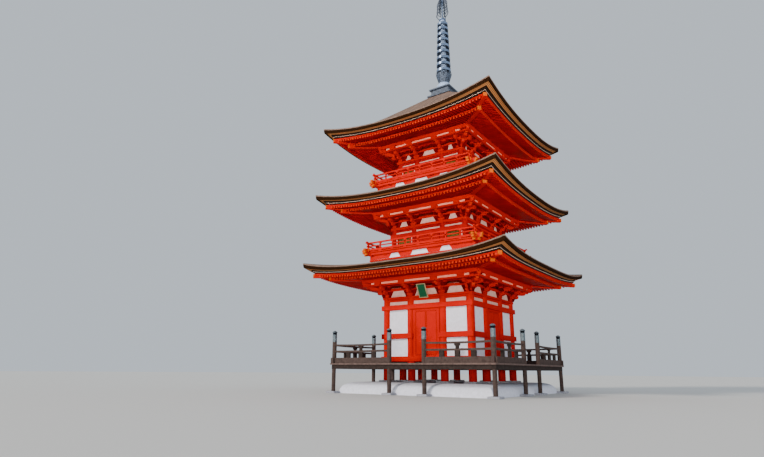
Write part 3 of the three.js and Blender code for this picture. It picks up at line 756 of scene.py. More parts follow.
class PAGODA_OT_veranda(Operator):
    """Veranda on legs: beams, boards and railings with capped posts"""

    bl_idname = "pagoda.veranda"
    bl_label = "Veranda"

    def execute(self, context):
        self.legs_and_beams()
        self.deck(context.scene.pagoda_sizes.board_width)
        for side, corner in enumerate(CORNERS):
            self.railing(side, corner)
        return {"FINISHED"}

    @staticmethod
    def legs_and_beams():
        """Legs under the posts, cross beams out from the wall, and the edge beam, darker with painted shade.
        """
        bm = bmesh.new()
        for x in (-GATE, GATE):
            block(bm, around(x, 0.045), (WALL + PILLAR, VERANDA), (BEAM_LOW, DECK[0]))
        for x in (-GATE, GATE, VERANDA):
            round_post(bm, 0.06, (POST_STONE_TOP, BEAM_LOW + 0.01), 12, (x, -VERANDA))
        four_sides(bm)
        # The edge beam takes finish 1, painted shade under the deck
        square_ring(bm, around(VERANDA, 0.05), (BEAM_LOW, DECK[0]), 1)
        keep("veranda_timbers", bm, [weathered_cypress, painted_shade_cypress],
             ["veranda_frame"])

    @staticmethod
    def deck(width):
        """Boards laid outwards from the wall, mitred at the corners."""
        bm = bmesh.new()
        inside = WALL + PILLAR + 0.004
        count = round(2 * DECK_OUT / width)
        pitch = 2 * DECK_OUT / count
        for i in range(count):
            x0 = -DECK_OUT + i * pitch + BOARD_JOINT / 2
            x1 = x0 + pitch - BOARD_JOINT

            def place(side, along, up, x0=x0, x1=x1):
                x = x0 if side < 0 else x1
                r = DECK_OUT if along > 0 else max(inside, abs(x) + 0.002)
                return Vector((x, -r, DECK[1] if up > 0 else DECK[0]))

            shaped(bm, place)
        four_sides(bm)
        keep("veranda_boards", bm, [deck_cypress], ["veranda_floor"])

    def railing(self, side, corner):
        """The railing round one corner, from gate post to gate post."""
        bm = bmesh.new()
        for x, y in ((VERANDA, -VERANDA), (GATE, -VERANDA), (VERANDA, -GATE)):
            turned(bm, POST, 16, (x, y), POST_BANDS)
        self.rails(bm)
        first = len(bm.verts)
        self.rails(bm)
        mirror_diagonal(new_verts(bm, first))
        turn_to(bm, bm.verts, side * RIGHT_ANGLE)
        keep(f"railing_{corner}", bm, [weathered_cypress, verdigris_bronze, black_and_painted_shade_bronze, painted_shade_cypress],
             [f"veranda_railing_{corner}"], smooth=True)

    @staticmethod
    def rails(bm):
        """Rails, struts and feet from gate post to corner post, bowed up slightly towards the posts."""
        span = VERANDA - GATE

        def rail(end, half, low, high, bow):
            def place(side, along, up):
                x = GATE + (end - GATE) * (along + 0.5)
                rise = bow * abs(2 * (x - GATE) / span - 1) ** 2.4
                return Vector((x, -VERANDA + 2 * half * side, (high if up > 0 else low) + rise))

            shaped(bm, place, cuts=8)

        rail(VERANDA, 0.026, 1.338, 1.39, 0.016)
        rail(VERANDA, 0.024, 1.16, 1.215, 0.006)
        rail(VERANDA + 0.1, 0.045, DECK[1], 1.008, 0.0)
        # Struts and the arm over them take finish 3, painted shade
        for share in (0.27, 0.5, 0.73):
            block(bm, around(GATE + span * share, 0.07), around(VERANDA, 0.03), (1.0, 1.17), 3)
        middle = GATE + span / 2
        block(bm, around(middle, 0.045), around(VERANDA, 0.024), (1.2, 1.29), 3)
        block(bm, around(middle, 0.075), around(VERANDA, 0.034), (1.28, 1.342), 3, "-+", 0.035)


# Ground storey


class PAGODA_OT_ground_storey(Operator):
    """Round pillars, rails, plaster panels, door frames and floor of the ground storey"""

    bl_idname = "pagoda.ground_storey"
    bl_label = "Ground storey"

    def execute(self, context):
        bm = bmesh.new()
        for place in pillar_places(WALL, INNER):
            round_post(bm, PILLAR, (STONE_TOP, PLATE[0]), 24, place)
        rail_ring(bm, WALL - 0.095, WALL + 0.1, FOOT_TIE)
        for heights in (SILL_RAIL, LINTEL_RAIL):
            rail_ring(bm, WALL + 0.031, WALL + 0.135, heights)
            rail_ring(bm, WALL - 0.08, WALL - 0.031, heights)
        rail_ring(bm, *around(WALL, 0.05), HEAD_TIE)
        keep("ground_pillars_and_rails", bm, [vermilion_paint], ["ground_frame"],
             smooth=True)
        bm = bmesh.new()
        out = WALL + 0.135
        for hand in (-1, 1):
            block(bm, mirrored(hand, INNER - PILLAR * 0.9, out), (WALL + 0.03, out), WAIST_RAIL, soft=0.006)
        four_sides(bm)
        keep("waist_rails", bm, [vermilion_paint])
        for side in SIDES:
            refinish(f"{side}_door_frame", vermilion_paint)
            refinish(f"{side}_wall_panel_1", lime_plaster)
            refinish(f"{side}_wall_panel_2", lime_plaster)
        # The wall band takes plaster with painted shade and red bounce light
        refinish("ground_wall_band", plaster_painted_shade_and_bounce)
        refinish("ground_floor", deck_cypress)
        return {"FINISHED"}


class PAGODA_OT_doors(Operator):
    """Board doors: two swinging pairs, two fixed pairs"""

    bl_idname = "pagoda.doors"
    bl_label = "Doors"

    def execute(self, context):
        swinging = ((0, -1, "front_door_left"), (0, 1, "front_door_right"),
                    (1, -1, "right_door_front"), (1, 1, "right_door_rear"))
        for side, hand, name in swinging:
            bm = bmesh.new()
            self.leaf(bm, hand, *SWINGING_LEAF)
            round_post(bm, PIVOT_RADIUS, PIVOT_HEIGHTS, 8, (hand * PIVOT_PLACE[0], -PIVOT_PLACE[1]))
            turn_to(bm, bm.verts, side * RIGHT_ANGLE)
            keep(f"{name}_boards", bm, [vermilion_paint, painted_shade_dark], [name], name)
        for side, name in ((2, "rear_doors"), (3, "left_doors")):
            bm = bmesh.new()
            for hand in (-1, 1):
                self.leaf(bm, hand, *FIXED_LEAF)
            turn_to(bm, bm.verts, side * RIGHT_ANGLE)
            keep(f"{name}_boards", bm, [vermilion_paint, painted_shade_dark], [name])
        return {"FINISHED"}

    @staticmethod
    def leaf(bm, hand, gap, low, high):
        """A plain painted leaf with a narrow sunk line just inside its edges, nearly black as painted shade.
        """
        sunk = LEAF_FACE - 0.007
        edge = 0.022
        field = edge + 0.008
        raised = (sunk, LEAF_FACE)
        # The leaf's back is finish 1, nearly black, and shows as painted shade in the sunk line
        block(bm, mirrored(hand, gap, LEAF_EDGE), (LEAF_FACE - LEAF_THICK, sunk), (low, high), 1)
        for x in ((gap, gap + edge), (LEAF_EDGE - edge, LEAF_EDGE)):
            block(bm, mirrored(hand, *x), raised, (low, high))
        for z in ((low, low + edge), (high - edge, high)):
            block(bm, mirrored(hand, gap + edge, LEAF_EDGE - edge), raised, z)
        block(bm, mirrored(hand, gap + field, LEAF_EDGE - field), raised, (low + field, high - field))


class PAGODA_OT_name_board(Operator):
    """Bare green name board in a cream frame, leaning forward over the front door"""

    bl_idname = "pagoda.name_board"
    bl_label = "Name board"

    def execute(self, context):
        half, tall, thick, rim, lean = 0.15, 0.44, 0.036, 0.024, 0.475
        foot = (0, -1.574, 2.758)
        bm = bmesh.new()
        block(bm, around(0, half - 0.02), (0.0, 0.022), (0.02, tall - 0.02))
        for hand in (-1, 1):
            block(bm, mirrored(hand, half - rim, half), (0.002, thick), (0.0, tall), 1, soft=0.006)
        for z in ((0.0, rim), (tall - rim, tall)):
            block(bm, around(0, half - rim), (0.002, thick), z, 1, soft=0.006)
        tilt = Matrix.Translation(foot) @ Matrix.Rotation(lean, 4, "X")
        bmesh.ops.transform(bm, matrix=tilt, verts=bm.verts)
        for x in (-0.095, 0.095):
            block(bm, around(x, 0.015), (1.53, 1.6), (2.78, 2.84), 2)
        keep("name_board", bm, [green_lacquer, cream_paint, vermilion_paint], ["plaque"])
        return {"FINISHED"}


# Brackets


# What the sets of one storey share: roof, rows outwards, tiers upwards, their scale, and the two blocks
Sets = namedtuple("Sets", "roof rows tiers scale big small")


def bearing_block(half):
    """A bearing block one metre tall, to be squeezed to its height: square above, drawn in below."""
    part = bmesh.new()
    bmesh.ops.create_cube(part, size=1)
    upright = [e for e in part.edges if abs(e.verts[0].co.z - e.verts[1].co.z) > 0.5]
    bmesh.ops.subdivide_edges(part, edges=upright, cuts=1, use_grid_fill=True)
    for vert in part.verts:
        wide = 2 * half * (0.72 if vert.co.z < -0.4 else 1.0)
        vert.co = (wide * vert.co.x, wide * vert.co.y, vert.co.z + 0.5)
    mesh = bpy.data.meshes.new("bearing_block")
    part.to_mesh(mesh)
    part.free()
    return mesh


def stand(bm, shape, x, r, low, high):
    """Stands a bearing block between two heights."""
    first = len(bm.verts)
    bm.from_mesh(shape)
    place = Matrix.LocRotScale((x, -r, low), None, (1, 1, high - low))
    bmesh.ops.transform(bm, matrix=place, verts=new_verts(bm, first))


class PAGODA_OT_brackets(Operator):
    """Three-step bracket sets with plaster panels under each roof"""

    bl_idname = "pagoda.brackets"
    bl_label = "Bracket sets"

    def execute(self, context):
        big, small = bearing_block(0.1), bearing_block(0.05)
        for roof in ROOFS:
            scale = (roof.purlin_low - roof.plate[1]) / TIER_STACK[3]
            tiers = [roof.plate[1] + h * scale for h in TIER_STACK]
            step = (roof.purlin - roof.wall) / 3
            rows = [roof.wall + i * step for i in range(4)]
            self.storey(Sets(roof, rows, tiers, scale, big, small))
        for shape in (big, small):
            bpy.data.meshes.remove(shape)
        return {"FINISHED"}

    def storey(self, sets):
        """All sets of a storey, with what runs round between them."""
        roof = sets.roof
        bm = bmesh.new()
        for x in (-roof.inner, roof.inner):
            stand(bm, sets.big, x, roof.wall, roof.plate[1], sets.tiers[0])
            self.arms(bm, x, sets, (-1, 1))
            self.tail(bm, x, sets)
        self.corner_set(bm, sets)
        self.infill(bm, sets)
        four_sides(bm)
        self.rings(bm, sets)
        node = "ground_brackets" if roof.name == "first" else f"{roof.name}_brackets"
        keep(f"{node}_timbers", bm, [vermilion_paint, vermilion_in_painted_shade, plaster_painted_shade_and_bounce, orange_paint,
                                     painted_shade_dark, plaster_painted_red_bounce, painted_shade_vermilion], [node])

    def arms(self, bm, x, sets, ends):
        """Arms over a pillar: the boat-shaped one in the wall, dark red with painted shade, three outwards,
        two along the face, and the one that carries the purlin. ends tells to which sides the arms along the
        face reach."""
        roof, rows, tiers = sets.roof, sets.rows, sets.tiers
        foot, head = (0.145, 0.245) if roof.name == "first" else (0.205, 0.29)
        # Finish 6 on the boat arm in the wall is painted shade
        boat_arm(bm, around(x, foot), around(x, head), (roof.wall + 0.03, roof.wall + 0.06),
                 (roof.plate[1], roof.plate[1] + 0.195 * sets.scale), 6)
        for i, nose in enumerate(NOSES):
            top = tiers[i] + ARM_TALL * sets.scale
            block(bm, around(x, ARM_HALF), (rows[0] - 0.02, rows[i + 1] + nose), (tiers[i], top), rounded="o")
            if i < 2:
                self.cross_arm(bm, x, sets, i + 1, ends)
                stand(bm, sets.small, x, rows[i + 1], top, tiers[i + 1])
        block(bm, around(x, 0.1), (rows[3] - 0.06, rows[3] + 0.055), (roof.strip, roof.purlin_low),
              rounded="-+", round_by=0.04)

    @staticmethod
    def cross_arm(bm, x, sets, row, ends):
        """An arm along the face with rounded ends and a small block on each; a corner's arm goes on past it.
        That of the first row is dark red with painted shade."""
        r, low = sets.rows[row], sets.tiers[row]
        tall = CROSS_TALL * sets.scale
        x0 = x - CROSS_REACH if -1 in ends else x
        x1 = x + CROSS_REACH if 1 in ends else x
        rounded = "".join("-" if end < 0 else "+" for end in ends)
        block(bm, (x0, x1), around(r, ARM_HALF), (low, low + tall), 6 if row == 1 else 0, rounded, tall * 0.8)
        if 1 not in ends:
            block(bm, (x, r + NOSES[0]), around(r, ARM_HALF), (low, low + tall))
        for end in ends:
            stand(bm, sets.small, x + end * (CROSS_REACH - 0.055), r, low + tall, sets.tiers[row + 1])

    @staticmethod
    def tail(bm, x, sets, stretch=1.0, half=0.036):
        """A tail rafter: a slanting bar whose orange end shows between the second and third steps."""
        rows, scale = sets.rows, sets.scale

        def place(side, along, up):
            r = rows[0] + (rows[3] - rows[0]) * (0.2 + 0.68 * (along + 0.5))
            z = sets.tiers[2] + 0.055 * scale - 0.3 * (r - rows[1]) + 0.075 * scale * up
            return Vector((x + 2 * half * side, -r * stretch, z))

        shaped(bm, place, end_mark=3)

    def corner_set(self, bm, sets):
        """The set over a corner pillar: arms both ways and one on the diagonal, with orange ends."""
        roof, rows, tiers = sets.roof, sets.rows, sets.tiers
        wall = roof.wall
        stand(bm, sets.big, wall, wall, roof.plate[1], tiers[0])
        self.arms(bm, wall, sets, (-1,))
        first = len(bm.verts)
        self.arms(bm, wall, sets, (-1,))
        mirror_diagonal(new_verts(bm, first))
        first = len(bm.verts)
        slant = math.sqrt(2)
        for i, nose in enumerate(SLANT_NOSES):
            reach = (rows[i + 1] + nose) * slant
            top = tiers[i] + ARM_TALL * sets.scale
            made = block(bm, around(0, 0.05), (wall * slant, reach), (tiers[i], top), rounded="o")
            for face in faces_on(made):
                if face.calc_center_median().y < -reach + 1e-4:
                    face.material_index = 3
            stand(bm, sets.small, 0, rows[i + 1] * slant, top, tiers[i + 1])
        self.tail(bm, 0.0, sets, slant, 0.045)
        turn_to(bm, new_verts(bm, first), RIGHT_ANGLE / 2)

    @staticmethod
    def infill(bm, sets):
        """White plaster strips under the purlin between the sets, drawn salmon with painted red bounce light.
        """
        roof, outer = sets.roof, sets.rows[3]
        wall, inner = roof.wall, roof.inner
        spans = [(0.105 - inner, inner - 0.105)]
        for hand in (-1, 1):
            spans += [mirrored(hand, wall + 0.078, wall + 0.25), mirrored(hand, inner + 0.12, wall - 0.13)]
        for span in spans:
            block(bm, span, (outer - 0.02, outer + 0.01), (roof.strip + 0.015, roof.strip + 0.081), 5)

    @staticmethod
    def rings(bm, sets):
        """Plate, wall beams with plaster between them, steps of thin boards, and the curled purlin."""
        roof, rows, tiers, scale = sets.roof, sets.rows, sets.tiers, sets.scale
        wall, plate_top, purlin = roof.wall, roof.plate[1], roof.purlin
        rail_ring(bm, wall - 0.075, wall + 0.105, roof.plate)
        # The plaster between the beams is finish 2, with painted shade and red bounce light
        square_ring(bm, around(wall, 0.03), (plate_top, tiers[2] + 0.02), 2)
        rail_ring(bm, wall - 0.04, wall + 0.06, (plate_top + 0.195 * scale, plate_top + 0.277 * scale), 0.004)
        # This wall beam is finish 4, nearly black: painted shade behind the arms
        square_ring(bm, around(wall, 0.04), (plate_top + 0.287 * scale, under(roof, wall + 0.04) - 0.004), 4)
        boards = [(wall + 0.03, tiers[2] + 0.01), (rows[1], tiers[2] + 0.01), (rows[2], tiers[3] - 0.02),
                  (rows[3], tiers[3] - 0.005), (rows[3], tiers[3]), (rows[2], tiers[3] - 0.005),
                  (rows[1], tiers[2] + 0.03), (wall + 0.03, tiers[2] + 0.03)]
        swept(bm, boards, marks=[1] * len(boards))
        for i in (1, 2):
            low = tiers[i + 1] - 0.012
            rail_ring(bm, *around(rows[i], 0.03), (low, low + 0.045 * scale), 0.004, 1)
        inside, outside = around(purlin, 0.05)
        low = roof.strip + 0.079
        section = [(inside, low), (outside, low), (outside, under(roof, outside) - 0.002),
                   (inside, under(roof, inside) - 0.002)]
        swept(bm, [(r, z, roof.share) for r, z in section], roof)
        square_ring(bm, (purlin - 0.045, purlin + 0.03), (roof.strip - 0.03, roof.strip + 0.017))


# Eaves


def under(roof, r):
    """Underside of the lower rafters at half width r, at the middle of a side."""
    step = roof.reach - STEP_IN
    low = roof.purlin_low + PURLIN_TALL
    slope = (low - (roof.edge - roof.drop)) / (step - roof.purlin)
    return low + slope * (roof.purlin - r)


def fly_under(roof, r):
    """Underside of the flying rafters at half width r."""
    return roof.edge - FLY_LOW + FLY_SLOPE * (roof.reach - FLY_END - r)


class PAGODA_OT_eaves(Operator):
    """Two tiers of close rafters, eave beams, boards and hip rafters under each roof"""

    bl_idname = "pagoda.eaves"
    bl_label = "Eaves"

    def execute(self, context):
        sizes = context.scene.pagoda_sizes
        for roof in ROOFS:
            bm = bmesh.new()
            inner, step, end = roof.wall - 0.1, roof.reach - STEP_IN, roof.reach - FLY_END
            self.tier(bm, roof, sizes, under, inner, step, RAFTER_TALL)
            self.tier(bm, roof, sizes, fly_under, step - 0.1, end, FLY_TALL)
            self.hip(bm, roof, under, inner, step + 0.035, 0.055, -0.045, 0.085)
            self.hip(bm, roof, fly_under, step - 0.12, end + 0.045, 0.05, -0.04, 0.08)
            four_sides(bm)
            self.boards(bm, roof, inner, step, end)
            # Rafter sides and soffit boards take the deep vermilion, as painted shade under the eaves
            keep(f"{roof.name}_rafter_tiers", bm,
                 [vermilion_paint, vermilion_in_painted_shade, orange_paint, ochre_paint],
                 [f"{roof.name}_rafters"])
        return {"FINISHED"}

    @staticmethod
    def tier(bm, roof, sizes, line, inner, outer, tall):
        """One tier of rafters on the front side, with orange ends. Near the corners they start at the hip."""
        count = int((outer - 0.06) / sizes.rafter_pitch)
        for i in range(-count, count + 1):
            x = (i + 0.5) * sizes.rafter_pitch
            start = max(inner, abs(x) + 0.03)
            if start > outer - 0.05:
                continue

            def place(side, along, up, x=x, start=start):
                r = outer if along < 0 else start
                z = line(roof, r) + curl(roof, r, x, roof.share) + (tall if up > 0 else 0.0)
                return Vector((x + sizes.rafter_width * side, -r, z))

            for face in faces_on(shaped(bm, place, mark=1)):
                if all(abs(v.co.y + outer) < 1e-6 for v in face.verts):
                    face.material_index = 2

    @staticmethod
    def hip(bm, roof, line, inner, outer, half, below, above):
        """A hip rafter on the diagonal, rising with the curl, with an ochre cap on its end."""
        aside = 2 * half / math.sqrt(2)

        def point(r, side, up):
            z = line(roof, r) + curl(roof, r, r, roof.share) + (above if up > 0 else below)
            return Vector((r + aside * side, -r + aside * side, z))

        def beam(side, along, up):
            return point(inner + (outer - inner) * (along + 0.5), side, up)

        def cap(side, along, up):
            wide = point(outer - 0.022 + 0.026 * (along + 0.5), side * 1.06, up)
            wide.z += 0.003 if up > 0 else 0.02
            return wide

        shaped(bm, beam, cuts=8)
        shaped(bm, cap, mark=3)

    @staticmethod
    def boards(bm, roof, inner, step, end):
        """Soffit boards over both tiers and the two eave beams."""

        def layer(points, thick, mark):
            section = points + [(r, z + thick) for r, z in reversed(points)]
            swept(bm, [(r, z, roof.share) for r, z in section], roof, [mark] * len(section))

        layer([(r, under(roof, r) + 0.068) for r in (inner, roof.purlin, step - 0.02)], 0.02, 1)
        layer([(r, fly_under(roof, r) + 0.06) for r in (step - 0.1, end - 0.01)], 0.02, 1)
        layer([(step - 0.09, under(roof, step) + 0.069), (step + 0.012, under(roof, step) + 0.067)], 0.03, 0)
        layer([(end - 0.1, roof.edge - 0.204), (end + 0.014, roof.edge - 0.206)], 0.045, 0)


# Roofs


def bark_top(roof, r):
    """Height of the bark at half width r, at the middle of a side."""
    if roof.name == "third" and r < STRAIGHT_INSIDE:
        slope = roof.slope + 2 * roof.curve * (roof.reach - STRAIGHT_INSIDE)
        return bark_top(roof, STRAIGHT_INSIDE) + slope * (STRAIGHT_INSIDE - r)
    d = roof.reach - r
    return roof.edge + roof.slope * d + roof.curve * d * d


class PAGODA_OT_roofs(Operator):
    """Bark roofs with thick layered eaves and curled corners"""

    bl_idname = "pagoda.roofs"
    bl_label = "Bark roofs"

    def execute(self, context):
        for roof in ROOFS:
            bm = bmesh.new()
            self.bark(bm, roof)
            self.eave_boards(bm, roof)
            keep(f"{roof.name}_bark_roof", bm,
                 [bark_shingle, bark_layers, cedar_layer, limed_board, painted_shade_recess],
                 [f"{roof.name}_roof"], smooth=True)
        return {"FINISHED"}

    @staticmethod
    def bark(bm, roof):
        """The bark itself: cedar layer, cut edge, slope, and back underneath, dark as painted shade."""
        reach, edge, share = roof.reach, roof.edge, roof.share
        closed = roof.name == "third"
        inside = SPIRE_HOLE if closed else roof.wall + 0.01
        start = reach - 0.02
        radii = [start - (start - inside) * i / SLOPE_ROWS for i in range(SLOPE_ROWS + 1)]
        top = [(r, bark_top(roof, r)) for r in radii]
        if closed:
            top.append((0.0, SPIRE_SEAT))
        lip = [(reach - 0.165, edge - 0.112, share + 0.2), (reach - 0.062, edge - 0.11, share + 0.25),
               (reach - 0.022, edge - 0.108, 0.87), (reach - 0.014, edge - 0.085, 0.88),
               (reach - 0.004, edge - 0.036, 0.97), (reach - 0.002, edge - 0.012)]
        below = [(0.0, SPIRE_SEAT - 0.25)] if closed else []
        below += [(inside, bark_top(roof, inside) - 0.09), (reach - 0.6, edge + 0.05, 0.9),
                  (reach - 0.17, edge - 0.085, share + 0.2)]
        marks = [2, 1, 1, 1, 0, 0] + [0] * (len(top) - 1) + [4] * (len(below) + 1)
        swept(bm, lip + top + below, roof, marks)

    @staticmethod
    def eave_boards(bm, roof):
        """Behind the bark's edge: the pale board line between two battens, dark as painted shade."""
        for setback, low, high, mark in ((0.236, -0.14, -0.124, 3), (0.24, -0.17, -0.14, 4),
                                         (0.2, -0.124, -0.07, 4)):
            outside, inside = roof.reach - setback, roof.reach - 0.5
            section = ((outside, low), (outside, high), (inside, high + 0.01), (inside, low + 0.01))
            swept(bm, [(r, roof.edge + z, roof.share + 0.08) for r, z in section], roof, [mark] * 4)


# Upper storeys


class PAGODA_OT_waists(Operator):
    """Waist brackets that carry the balconies, with white panels between them"""

    bl_idname = "pagoda.waists"
    bl_label = "Waist brackets"

    def execute(self, context):
        for storey in UPPER:
            bm = bmesh.new()
            wall, inner, out, base = storey.wall, storey.inner, storey.waist, storey.base
            middle = (wall + inner) / 2 + 0.012
            for x in (-wall, -inner, inner, wall):
                block(bm, around(x, ARM_HALF), (wall + 0.12, out + 0.034), (base + 0.085, base + 0.195))
            for hand in (-1, 1):
                for low, high in (((inner - 0.19, middle - 0.21), (inner - 0.286, middle - 0.092)),
                                  ((middle + 0.21, out + 0.02), (middle + 0.092, out + 0.02))):
                    boat_arm(bm, mirrored(hand, *low), mirrored(hand, *high), (out - 0.02, out + 0.022),
                             (base, base + 0.185))
                for x in (middle + 0.33, out - 0.09):
                    block(bm, around(hand * x, 0.05), (out, out + 0.036), (base + 0.1, base + 0.19), 1,
                          rounded="-+", round_by=0.03)
            four_sides(bm)
            shelf = ROOFS[storey.below].wall + 0.005
            square_ring(bm, (out - 0.03, out + 0.004), (base - 0.055, base + 0.19), 2)
            square_ring(bm, (wall - 0.1, shelf), (base - 0.2, base + 0.19), 1)
            rail_ring(bm, out - 0.06, out + 0.03, (base + 0.15, base + 0.2), 0.004)
            rail_ring(bm, out - 0.02, out + 0.034, (base - 0.06, base - 0.01), 0.004)
            # The waist's small blocks and back board take the deep vermilion, as painted shade
            keep(f"{storey.name}_waist_brackets", bm, [vermilion_paint, vermilion_in_painted_shade, lime_plaster],
                 [f"{storey.name}_waist_frame"])
        return {"FINISHED"}


class PAGODA_OT_balconies(Operator):
    """Balconies with three-rail railings whose noses cross at the corners"""

    bl_idname = "pagoda.balconies"
    bl_label = "Balconies"

    def execute(self, context):
        for storey in UPPER:
            bm = bmesh.new()
            self.railing(bm, storey.rail, storey.base)
            four_sides(bm)
            base = storey.base
            rail_ring(bm, storey.wall + 0.112, storey.rail + 0.055, (base + 0.217, base + 0.257))
            rail_ring(bm, storey.waist - 0.03, storey.rail + 0.02, (base + 0.135, base + 0.218))
            keep(f"{storey.name}_balcony_railing", bm, [vermilion_paint, ochre_paint],
                 [f"{storey.name}_balcony"])
        return {"FINISHED"}

    @staticmethod
    def railing(bm, r, base):
        """The front side's railing: low, middle and top rail, struts, feet, and ochre-capped noses."""

        def rail(reach, half, low, high, tip):
            def place(side, along, up):
                x = 2 * (r + reach) * along
                past = max(0.0, abs(x) - r + 0.12) / (reach + 0.12)
                return Vector((x, -r + 2 * half * side, base + (high if up > 0 else low) + tip * past**2))

            shaped(bm, place, cuts=30)

        rail(0.22, 0.034, 0.28, 0.345, 0.0)
        rail(0.06, 0.018, 0.42, 0.452, 0.006)
        rail(0.1, 0.022, 0.522, 0.566, 0.03)
        count = 8
        for i in range(count + 1):
            x = -r + 2 * r * i / count
            thick = 0.03 if i in (0, count) else 0.02
            block(bm, around(x, thick), around(r, 0.018), (base + 0.34, base + 0.5))
            block(bm, around(x, 0.045), around(r, 0.024), (base + 0.49, base + 0.527), rounded="-+",
                  round_by=0.02)
            block(bm, around(x, 0.05), around(r, 0.03), (base + 0.255, base + 0.282))
        block(bm, around(r, 0.05), around(r, 0.05), (base + 0.215, base + 0.375), 1, soft=0.006)
        for hand in (-1, 1):
            for reach, low, high in ((0.13, 0.135, 0.212), (0.2, 0.21, 0.282), (0.22, 0.282, 0.345)):
                tip = r + reach
                block(bm, mirrored(hand, r, tip), around(r, 0.033), (base + low, base + high))
                block(bm, mirrored(hand, tip - 0.05, tip + 0.004), around(r, 0.037),
                      (base + low + 0.002, base + high - 0.002), 1)


class PAGODA_OT_upper_walls(Operator):
    """Pillars, rails, doors and green-barred windows of the upper storeys"""

    bl_idname = "pagoda.upper_walls"
    bl_label = "Upper walls"

    def execute(self, context):
        for storey in UPPER:
            self.timbers(storey)
            self.openings(storey, context.scene.pagoda_sizes.bar_pitch)
            # The upper walls take plaster with painted shade and red bounce light
            refinish(f"{storey.name}_walls", plaster_painted_shade_and_bounce)
        return {"FINISHED"}

    @staticmethod
    def timbers(storey):
        """Round pillars, sill and lintel rails, and the strip under the plate."""
        bm = bmesh.new()
        base, wall = storey.base, storey.wall
        for place in pillar_places(wall, storey.inner):
            round_post(bm, UPPER_PILLAR, (base + PILLAR_FOOT, base + UPPER_PLATE[0]), 20, place)
        for low, high in (SILL, LINTEL):
            rail_ring(bm, wall + 0.031, wall + 0.108, (base + low, base + high))
        rail_ring(bm, *around(wall, 0.045), (base + STRIP, base + UPPER_PLATE[0]))
        # The upper pillars and rails take the deep vermilion, as painted shade
        keep(f"{storey.name}_pillars_and_rails", bm, [vermilion_in_painted_shade],
             [f"{storey.name}_frame"], smooth=True)

    @staticmethod
    def openings(storey, pitch):
        """The red door pair of the middle bay and a barred window in each side bay."""
        bm = bmesh.new()
        wall = storey.wall
        low, high = storey.base + SILL[1], storey.base + LINTEL[0]
        heights = (low, high)
        half = storey.inner - UPPER_PILLAR
        casing = (wall + 0.005, wall + 0.05)
        hole = (wall - storey.inner) / 2 - 0.162
        for hand in (-1, 1):
            block(bm, mirrored(hand, 0.002, half - 0.05), (wall + 0.03, wall + 0.062), heights, soft=0.003)
            block(bm, mirrored(hand, half - 0.048, half + 0.005), (wall + 0.03, wall + 0.07), heights,
                  soft=0.003)
            middle = hand * (wall + storey.inner) / 2
            for x in around(middle, hole + 0.02):
                block(bm, around(x, 0.02), casing, heights)
            for z in ((low, low + 0.03), (high - 0.03, high)):
                block(bm, around(middle, hole), casing, z)
            count = int(2 * hole / pitch)
            for i in range(count):
                x = middle - hole + 2 * hole * (i + 0.5) / count
                block(bm, around(x, 0.014), (wall - 0.012, wall + 0.016), heights, 1)
        four_sides(bm)
        # Doors and window casings take the deep vermilion, as painted shade
        keep(f"{storey.name}_doors_and_windows", bm, [vermilion_in_painted_shade, bar_paint])


# Spire


